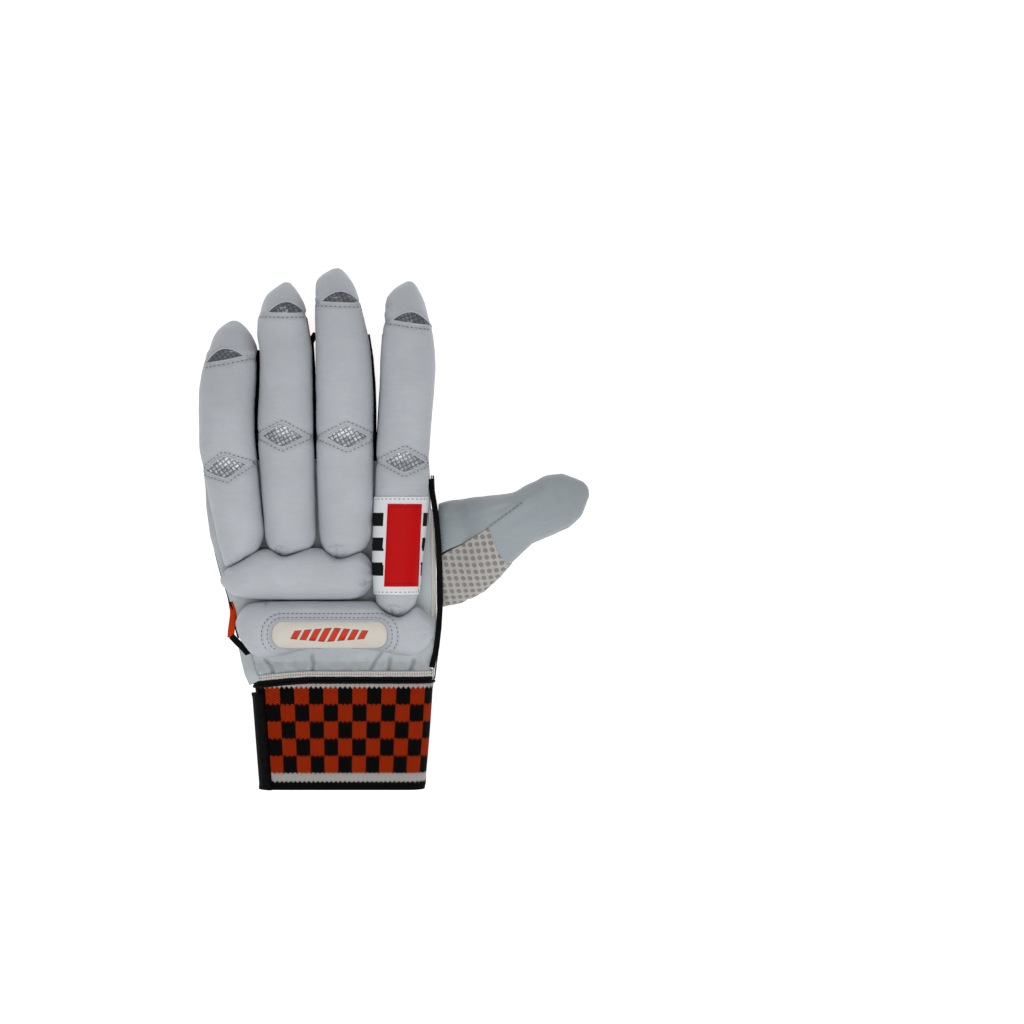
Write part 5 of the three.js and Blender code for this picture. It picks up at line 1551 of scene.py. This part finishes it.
class GLOVE_OT_walls(bpy.types.Operator):
    """Builds the net walls of the fingers and the strips down both sides"""

    bl_idname = "glove.walls"
    bl_label = "Side walls"

    def execute(self, context):
        black = finish("black_tape")
        side_net("outer_net", "outer_mesh")
        index_net = side_net("index_net", "index_side")
        tucked = points_of(index_net.data)
        tucked[:, 0] -= NET_TUCK * smooth((tucked[:, 1] - NET_TUCK_START) / (12 * MM))
        put_points(index_net.data, tucked)
        tapes = []
        for left, right in zip(FINGERS, FINGERS[1:]):
            node = f"gusset_{left}_{right}"
            side_net(f"net_{left}_{right}", node)
            for path, up in zip(wall_edges(node), (-1, 1)):
                path = even(path, 1.5 * MM)
                path = path[path[:, 1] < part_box(node)[1].y - TAPE_STOP]
                path = path[np.argsort(path[:, 0] > path[:, 0].mean(), kind="stable")]
                path[:, 2] -= up * 0.6 * MM
                apart = np.sign(path[:, 0] - path[:, 0].mean())
                path[:, 0] -= apart * TAPE_OUT * (1 - smooth((path[:, 1] - TAPE_SPLAY[0]) / TAPE_SPLAY[1]))
                out = np.zeros_like(path)
                out[:, 0] = TAPE_LEAN
                out[:, 2] = up
                split = int(np.sum(path[:, 0] < path[:, 0].mean()))
                for part in (slice(0, split), slice(split, None)):
                    if len(path[part]) > 3:
                        tapes.append((path[part], out[part], False))
        keep(swept("finger_tapes", tapes, flat_band(sizes().tape, 0.7 * MM), black), "binding")
        for name, node in TAPED_EDGES.items():
            keep(rounded(name, [node], black, 1, 2), "binding", node)
        webbing = rounded("inner_web", ["inner_webbing"], finish("cream_tape"), 1, 2)
        keep(webbing, "white_mesh", "inner_webbing")
        bed = tree_of(*(bpy.data.objects[name] for name in STRIP_BED))
        for name, places, width, lift, material, slot in EDGE_STRIPS:
            plan = even(np.array(places) * MM, 1.5 * MM)
            points, _ = dropped(bed, plan)
            points[:, :2] = plan
            level = points[:, 2]
            for _ in range(16):
                level = np.convolve(np.pad(level, 1, mode="edge"), (0.25, 0.5, 0.25), mode="valid")
            points[:, 2] = level + lift * MM
            ups = np.broadcast_to(np.array([0.15 * np.sign(places[0][0]), 0.0, 1.0]), points.shape)
            band = swept(name, [(points, ups, False)], flat_band(width * MM, 0.8 * MM), finish(material))
            lay_pattern(band, points_of(band.data)[:, :2] / MM)
            keep(band, slot)
        piping = rounded("vent_cord", ["vent_piping"], finish("cream_tape"), 0, 2)
        keep(piping, "label_white", "vent_piping")
        return {"FINISHED"}


# Cuff and strap
class Oval:
    """The cuff's flat oval section, read from its solid."""

    def __init__(self):
        points = points_of(NODES["cuff"].data)
        low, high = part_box("cuff")
        self.top, self.bottom = high.y, low.y
        self.radius = (high.z - low.z) / 2
        self.middle = (high.z + low.z) / 2
        self.centre = (high.x + low.x) / 2
        self.half_top = np.abs(points[points[:, 1] > high.y - MM][:, 0] - self.centre).max()
        self.half_hem = np.abs(points[points[:, 1] < low.y + MM][:, 0] - self.centre).max()

    def flat(self, y):
        share = np.clip((self.top - y) / (self.top - self.bottom), 0, 1)
        return self.half_top + (self.half_hem - self.half_top) * share - self.radius

    def at(self, along, y, grow):
        """A point by its way round, in metres over the top from the left side's middle."""
        flat = self.flat(y)
        quarter = math.pi / 2 * self.radius
        whole = 4 * flat + 4 * quarter
        way = np.mod(along, whole)
        under = way > whole / 2
        near = np.where(under, whole - way, way)
        first = np.clip(near / quarter, 0, 1)
        level = np.clip(near - quarter, 0, 2 * flat)
        last = np.clip((near - quarter - 2 * flat) / quarter, 0, 1)
        turn = math.pi / 2 * (2 - first - last)
        x = self.centre - flat + level + (self.radius + grow) * np.cos(turn)
        z = (self.radius + grow) * np.sin(turn) * np.where(under, -1, 1)
        return np.stack(np.broadcast_arrays(x, y, self.middle + z), axis=-1)

    def way_to(self, x, y, under=False):
        """The way round to a place across the flat top, or across the underside."""
        flat = self.flat(y)
        quarter = math.pi / 2 * self.radius
        over = quarter + x - self.centre + flat
        return 4 * flat + 4 * quarter - over if under else over


def slit_places(oval):
    """Where the cuff's slit starts and ends on its underside, looking up from below."""
    tree = tree_of(NODES["cuff"])
    y = (oval.top + oval.bottom) / 2
    xs = np.arange(oval.centre - oval.flat(y), oval.centre + oval.flat(y), 0.4 * MM)
    hits = [tree.ray_cast(Vector((x, y, -0.01)), Vector((0, 0, 1)), oval.middle)[0] is not None for x in xs]
    open_xs = xs[~np.array(hits)]
    return open_xs.min(), open_xs.max()


class GLOVE_OT_cuff(bpy.types.Operator):
    """Knits the checked cuff and tapes its seam to the hand"""

    bl_idname = "glove.cuff"
    bl_label = "Cuff"

    def execute(self, context):
        oval = Oval()
        slit_left, slit_right = slit_places(oval)
        middle_y = (oval.top + oval.bottom) / 2
        start = oval.way_to(slit_left, middle_y, under=True)
        end = oval.way_to(slit_right, middle_y, under=True)
        whole = 4 * oval.flat(middle_y) + 2 * math.pi * oval.radius
        share = np.linspace(start - whole, end, 360)[None, :]
        y = np.linspace(oval.top, oval.bottom, 88)[:, None]
        scale = (4 * oval.flat(y) + 2 * math.pi * oval.radius) / whole
        down = (oval.top - y) / MM
        relief = 0.28 * MM * (1 - smooth(np.abs(down - TOP_BAND / 2) / (TOP_BAND / 2 + 0.6)))
        hem_start = TOP_BAND + CHECK_ROWS * CHECK_HEIGHT
        relief = relief + 0.3 * MM * (1 - smooth(np.abs(down - hem_start - HEM_BAND) / (HEM_BAND + 0.6)))
        ribs = RIB_HEIGHT * np.sin(2 * math.pi * share / (2 * WALE * MM))
        slack = CUFF_SLACK * np.sin(share / (13 * MM)) * np.sin(math.pi * down / 58)
        outer = oval.at(share * scale, y, relief + ribs + slack)
        inner = oval.at(share * scale, y, -CUFF_WALL + slack)
        piece = walled("knitted_cuff", outer, inner, finish("checked_knit"))
        start_x = oval.way_to(CHECK_START * MM, middle_y)
        across = np.broadcast_to(share - start_x, outer.shape[:2]) / MM
        places = np.stack([across, np.broadcast_to(down, outer.shape[:2])], axis=-1).reshape(-1, 2)
        lay_pattern(piece, np.concatenate([places, places]))
        keep(piece, "knit", "cuff")
        SURFACES["cuff"] = tree_of(piece)
        both = tree_of(piece, bpy.data.objects["gathered_leather"], bpy.data.objects["palm_leather"])
        around = np.linspace(0, whole, 300)[:-1]
        top = np.full(len(around), oval.top)
        out = oval.at(around, top, 1.0) - oval.at(around, top, 0.0)
        for name, above, width, height, material in (
            ("cuff_seam_tape", 0.0, 3.6 * MM, 1.4 * MM, "seam_tape"),
            ("cuff_edge_tape", 3.4 * MM, 3.2 * MM, 1.0 * MM, "cream_tape"),
        ):
            ring = oval.at(around, top, 0.5 * MM)
            slipped = np.clip((-12 * MM - ring[:, 0]) / (32 * MM), 0, 1) ** 1.5
            ring[:, 1] = BAND_TOP - BAND_SLIP * slipped + above
            level, _ = clung(both, ring)
            near = np.linalg.norm(level - ring, axis=1) < 3 * MM
            place = np.where(near[:, None], level, ring)
            place[:, 1] = ring[:, 1]
            place = soften(place, 6)
            place[:, 2] = np.maximum(place[:, 2], height)
            step = np.array([0.0, width / 4, 0.0])
            runs = [(place + step, out, True), (place - step, out, True)]
            band = swept(name, runs, half_round(width / 2 * 1.08, height), finish(material))
            keep(band, "binding" if material == "seam_tape" else "knit")
        return {"FINISHED"}


def soften(ring, passes):
    for _ in range(passes):
        ring = (np.roll(ring, 1, axis=0) + np.roll(ring, -1, axis=0) + 2 * ring) / 4
    return ring


class GLOVE_OT_strap(bpy.types.Operator):
    """Lays the wrist strap round the cuff, with its moulded patch beneath"""

    bl_idname = "glove.strap"
    bl_label = "Strap"

    def execute(self, context):
        oval = Oval()
        low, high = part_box("strap")
        middle_y = (low.y + high.y) / 2
        root = oval.way_to(STRAP_ROOT, middle_y)
        whole = 4 * oval.flat(middle_y) + 2 * math.pi * oval.radius
        tip = oval.way_to(high.x, middle_y, under=True) - whole
        share = np.linspace(tip, root, 250)[None, :]
        cut, reach = STRAP_CORNER
        chamfer = cut * np.clip(1 - (share - tip) / reach, 0, 1) ** 1.5
        up = np.linspace(0, 1, 56)[:, None]
        bottom, top = low.y + chamfer, high.y - chamfer
        y = top + (bottom - top) * up
        border = np.minimum(up, 1 - up) * (high.y - low.y)
        height, width = STRAP_BEAD
        bead = height * (1 - smooth((border - width) / width))
        end_bead = height * (1 - smooth((np.minimum(share - tip, root - share) - width) / width))
        ridge = np.maximum(bead, end_bead) + 0.12 * MM * np.sin(share / (8 * MM))
        inner = oval.at(share, y, STRAP_GAP)
        outer = oval.at(share, y, STRAP_GAP + STRAP_WALL + ridge)
        outer[..., 2] = np.maximum(outer[..., 2], STRAP_FLOOR)
        piece = walled("wrist_strap", outer, inner, finish("strap_fabric"))
        keep(piece, "strap", "strap")
        patch = rounded("moulded_patch", ["strap_patch"], finish("moulded_rubber"), 1, 1)
        keep(patch, "rubber", "strap_patch")
        return {"FINISHED"}


# Thumb
def to_thumb(points):
    """Places in the thumb's own frame: along it, across it towards the fingers, and up."""
    c, s = math.cos(THUMB_ANGLE), math.sin(THUMB_ANGLE)
    x, y = points[:, 0] - THUMB_ROOT[0], points[:, 1] - THUMB_ROOT[1]
    return np.stack([c * x + s * y, -s * x + c * y, points[:, 2]], axis=1)


def thumb_outward(points):
    """Directions away from the thumb's middle line."""
    local = to_thumb(points)
    away = np.stack([np.zeros(len(points)), local[:, 1] + 2 * MM, local[:, 2] - 12 * MM], axis=1)
    away /= np.linalg.norm(away, axis=1, keepdims=True)
    c, s = math.cos(THUMB_ANGLE), math.sin(THUMB_ANGLE)
    return np.stack([-s * away[:, 1], c * away[:, 1], away[:, 2]], axis=1)


def thumb_pattern(points):
    """Places in the net's pattern: plan places that spread a little down the side."""
    down = np.maximum(0, 22 * MM - points[:, 2])
    turn = math.radians(5)
    u = points[:, 0] * math.cos(turn) + points[:, 1] * math.sin(turn)
    v = points[:, 1] * math.cos(turn) - points[:, 0] * math.sin(turn)
    return np.stack([u + 0.12 * v, v - 0.2 * down], axis=1) / MM


def root_reach(piece):
    """Draws the thumb's open end in under the hand's edge."""
    points = points_of(piece.data)
    share = smooth((68 * MM - points[:, 0]) / (8 * MM))
    points[:, 0] -= THUMB_REACH * share
    put_points(piece.data, points)


def thumb_folds(points):
    local = to_thumb(points)
    soft = 0.7 * MM * waves(local, 16 * MM, (1.2, 1, 1), 14.0)
    valley = np.array([[14 * MM, 16 * MM], [18 * MM, -2 * MM]])
    soft -= 1.3 * MM * hump(distance_to(local[:, :2], valley), 5 * MM) * (local[:, 2] > 8 * MM)
    slack = np.array([[36 * MM, 9 * MM], [62 * MM, 12 * MM]])
    soft -= 1.0 * MM * hump(distance_to(local[:, :2], slack), 2.5 * MM) * (local[:, 2] > 14 * MM)
    return soft + 0.05 * MM * waves(local, 4 * MM, (1, 2, 2), 5.0)


def thumb_seam_shade(points):
    """Painted shade along the seam that runs on over the leather."""
    top = (points[:, 2] > 12 * MM).astype(float)
    return top * hump(distance_to(points[:, :2], np.array(THUMB_TUCK) * MM), 0.6 * MM)


def dots(u, v, pitch, radius):
    """1 in the middle of a net's holes, falling to 0 at their edge."""
    x = np.mod(u, pitch) - pitch / 2
    y = np.mod(v, pitch) - pitch / 2
    return smooth((radius + 0.35 - np.hypot(x, y)) / 0.7)


class GLOVE_OT_thumb(bpy.types.Operator):
    """Builds the thumb's leather, its net panel and its floor"""

    bl_idname = "glove.thumb"
    bl_label = "Thumb"

    def execute(self, context):
        cover = rounded("thumb_cover", ["thumb_leather"], finish("thumb_leather"), 2, 1)
        root_reach(cover)
        keep(rippled(cover, thumb_outward, thumb_folds, thumb_seam_shade), "leather", "thumb_leather")
        SURFACES["thumb"] = tree_of(cover)
        panel = rounded("thumb_net", ["thumb_mesh"], finish("white_net"), 3, 1)
        root_reach(panel)
        points = points_of(panel.data)
        middle = (points[:, :2].max(0) + points[:, :2].min(0)) / 2
        points[:, :2] = middle + (points[:, :2] - middle) * NET_SPREAD
        spun = thumb_pattern(points)
        hole = dots(spun[:, 0], spun[:, 1], THUMB_DOT_PITCH, THUMB_DOT_RADIUS)
        lay_pattern(panel, spun)
        outward = thumb_outward(points)
        facing = smooth((normals_of(panel.data) * outward).sum(1) / 0.5)
        put_points(panel.data, points - outward * (0.5 * MM * hole * facing)[:, None])
        keep(panel, "white_mesh", "thumb_mesh")
        sew("thumb", np.array(THUMB_TUCK) * MM)
        floor = rounded("thumb_under", ["thumb_floor"], finish("thumb_leather"))
        keep(rippled(floor, upwards, lambda p: 0.2 * MM * waves(p, 10 * MM)), "leather", "thumb_floor")
        for part in ("base", "middle", "tip"):
            node = f"thumb_{part}_pad"
            pad = remeshed(f"thumb_{part}_roll", node, finish("padded_leather"), detail().voxel, 18,
                           0.25 * MM)
            points, normals = points_of(pad.data), normals_of(pad.data)
            relief = sizes().sag * waves(points, 11 * MM, (1, 1, 1), 31.0)
            moved = points + normals * relief[:, None]
            moved[:, 2] = np.maximum(moved[:, 2], 0.0)
            put_points(pad.data, moved)
            mark(pad, "seam", np.zeros(len(points)))
            keep(pad, "roll_leather", node, fill=0.85)
        return {"FINISHED"}


# Stitches
def stitch_nodes(material):
    """Nodes that lay stitches along lines: evenly spaced, turned with the line and its up."""
    tree = bpy.data.node_groups.new("stitches", "GeometryNodeTree")
    tree.interface.new_socket("Geometry", in_out="INPUT", socket_type="NodeSocketGeometry")
    inputs = {
        name: tree.interface.new_socket(name, in_out="INPUT", socket_type="NodeSocketFloat")
        for name in ("Spacing", "Length", "Width", "Slant")
    }
    tree.interface.new_socket("Geometry", in_out="OUTPUT", socket_type="NodeSocketGeometry")

    def add(kind, **settings):
        node = tree.nodes.new(kind)
        for key, value in settings.items():
            setattr(node, key, value)
        return node

    def link(source, target):
        tree.links.new(source, target)

    group = add("NodeGroupInput")
    curve = add("GeometryNodeMeshToCurve")
    spaced = add("GeometryNodeResampleCurve", mode="LENGTH")
    stitch = add("GeometryNodeMeshUVSphere")
    stitch.inputs["Segments"].default_value = 6
    stitch.inputs["Rings"].default_value = 5
    stitch.inputs["Radius"].default_value = 0.5
    size = add("ShaderNodeCombineXYZ")
    along = add("GeometryNodeInputTangent")
    up = add("GeometryNodeInputNamedAttribute", data_type="FLOAT_VECTOR")
    up.inputs["Name"].default_value = "up"
    facing = add("FunctionNodeAlignRotationToVector", axis="X")
    upright = add("FunctionNodeAlignRotationToVector", axis="Z", pivot_axis="X")
    jitter = add("FunctionNodeRandomValue", data_type="FLOAT")
    jitter.inputs["Seed"].default_value = 7
    low = add("ShaderNodeMath", operation="MULTIPLY")
    low.inputs[1].default_value = -1.0
    turned = add("FunctionNodeAxisAngleToRotation")
    slanted = add("FunctionNodeRotateRotation", rotation_space="LOCAL")
    placed = add("GeometryNodeInstanceOnPoints")
    real = add("GeometryNodeRealizeInstances")
    painted = add("GeometryNodeSetMaterial")
    painted.inputs["Material"].default_value = material
    out = add("NodeGroupOutput")
    link(group.outputs["Geometry"], curve.inputs[0])
    link(curve.outputs[0], spaced.inputs["Curve"])
    link(group.outputs["Spacing"], spaced.inputs["Length"])
    link(group.outputs["Length"], size.inputs[0])
    link(group.outputs["Width"], size.inputs[1])
    link(group.outputs["Width"], size.inputs[2])
    link(along.outputs[0], facing.inputs["Vector"])
    link(facing.outputs[0], upright.inputs["Rotation"])
    link(up.outputs["Attribute"], upright.inputs["Vector"])
    link(group.outputs["Slant"], low.inputs[0])
    link(low.outputs[0], jitter.inputs[2])
    link(group.outputs["Slant"], jitter.inputs[3])
    link(jitter.outputs[1], turned.inputs["Angle"])
    link(upright.outputs[0], slanted.inputs["Rotation"])
    link(turned.outputs[0], slanted.inputs["Rotate By"])
    link(spaced.outputs[0], placed.inputs["Points"])
    link(stitch.outputs["Mesh"], placed.inputs["Instance"])
    link(slanted.outputs[0], placed.inputs["Rotation"])
    link(size.outputs[0], placed.inputs["Scale"])
    link(placed.outputs[0], real.inputs[0])
    link(real.outputs[0], painted.inputs["Geometry"])
    link(painted.outputs[0], out.inputs[0])
    return tree, inputs


def sewn_lines(name):
    """A wire of every line that is sewn, each point with the direction that is up there."""
    points, edges, ups = [], [], []
    for path, up in SEWN:
        first = len(points)
        points += path.tolist()
        ups += up.tolist()
        edges += [(first + k, first + k + 1) for k in range(len(path) - 1)]
    mesh = bpy.data.meshes.new(name)
    mesh.from_pydata(points, edges, [])
    attribute = mesh.attributes.new("up", "FLOAT_VECTOR", "POINT")
    attribute.data.foreach_set("vector", np.asarray(ups, np.float32).ravel())
    wire = bpy.data.objects.new(name, mesh)
    bpy.context.scene.collection.objects.link(wire)
    return wire


class GLOVE_OT_stitches(bpy.types.Operator):
    """Lays a stitch at each step of every sewn line"""

    bl_idname = "glove.stitches"
    bl_label = "Stitches"

    def execute(self, context):
        size = sizes()
        wire = sewn_lines("stitching")
        tree, inputs = stitch_nodes(finish("sewing_thread"))
        modifier = wire.modifiers.new("stitches", "NODES")
        modifier.node_group = tree
        for name, value in (("Spacing", size.stitch_pitch), ("Length", size.stitch_length),
                            ("Width", size.thread), ("Slant", 0.12)):
            modifier[inputs[name].identifier] = value
        applied(wire)
        wire.data.polygons.foreach_set("use_smooth", [True] * len(wire.data.polygons))
        keep(wire, "leather")
        return {"FINISHED"}


# Stage
def area_light(name, place, target, size, power):
    data = bpy.data.lights.new(name, "AREA")
    data.shape = "RECTANGLE"
    data.size, data.size_y = size
    data.energy = power
    light = bpy.data.objects.new(name, data)
    light.location = place
    light.rotation_euler = (Vector(target) - Vector(place)).to_track_quat("-Z", "Y").to_euler()
    bpy.context.scene.collection.objects.link(light)


class GLOVE_OT_stage(bpy.types.Operator):
    """Sets the pale floor, the soft lights and the camera over the glove"""

    bl_idname = "glove.stage"
    bl_label = "Stage"

    def execute(self, context):
        signs = ((-1, -1), (1, -1), (1, 1), (-1, 1))
        corners = [(FLOOR_HALF * x, FLOOR_HALF * y, FLOOR_LEVEL) for x, y in signs]
        mesh = bpy.data.meshes.new("floor")
        mesh.from_pydata(corners, [], [(0, 1, 2, 3)])
        mesh.materials.append(finish("floor_paper"))
        floor = bpy.data.objects.new("floor", mesh)
        context.scene.collection.objects.link(floor)
        world = bpy.data.worlds.new("studio")
        world.use_nodes = True
        world.node_tree.nodes["Background"].inputs["Color"].default_value = WORLD_TINT
        world.node_tree.nodes["Background"].inputs["Strength"].default_value = WORLD_LIGHT
        context.scene.world = world
        for name, (place, target, size, power) in LAMPS.items():
            area_light(name, place, target, size, power)
        data = bpy.data.cameras.new("camera")
        data.lens, data.sensor_width = LENS, SENSOR
        camera = bpy.data.objects.new("camera", data)
        camera.location = (*VIEW_CENTRE, VIEW_WIDTH * LENS / SENSOR + VIEW_RISE)
        context.scene.collection.objects.link(camera)
        context.scene.camera = camera
        context.scene.view_settings.view_transform = "Standard"
        return {"FINISHED"}


PIECES = (
    GLOVE_OT_finger_rolls, GLOVE_OT_windows, GLOVE_OT_cross_rolls, GLOVE_OT_badge, GLOVE_OT_label,
    GLOVE_OT_shell, GLOVE_OT_palm, GLOVE_OT_walls, GLOVE_OT_cuff, GLOVE_OT_strap, GLOVE_OT_thumb,
    GLOVE_OT_stitches, GLOVE_OT_stage,
)


class GLOVE_PT_panel(bpy.types.Panel):
    """Lists the glove's pieces in the order they are built"""

    bl_idname = "GLOVE_PT_panel"
    bl_label = "Batting glove"
    bl_space_type = "VIEW_3D"
    bl_region_type = "UI"
    bl_category = "Glove"

    def draw(self, context):
        for piece in PIECES:
            self.layout.operator(piece.bl_idname)
        for group in (context.scene.glove_sizes, context.scene.glove_colours, context.scene.glove_detail):
            for name in group.bl_rna.properties.keys():
                if name not in ("rna_type", "name"):
                    self.layout.prop(group, name)


GROUPS = {"glove_sizes": GloveSizes, "glove_colours": GloveColours, "glove_detail": GloveDetail}


def register():
    for group in (*GROUPS.values(), *PIECES, GLOVE_PT_panel):
        bpy.utils.register_class(group)
    for name, group in GROUPS.items():
        setattr(bpy.types.Scene, name, PointerProperty(type=group))


def unregister():
    for name in GROUPS:
        delattr(bpy.types.Scene, name)
    for group in (GLOVE_PT_panel, *reversed(PIECES), *GROUPS.values()):
        bpy.utils.unregister_class(group)


def main():
    register()
    for piece in PIECES:
        category, name = piece.bl_idname.split(".")
        getattr(getattr(bpy.ops, category), name)()


if __name__ == "__main__":
    main()
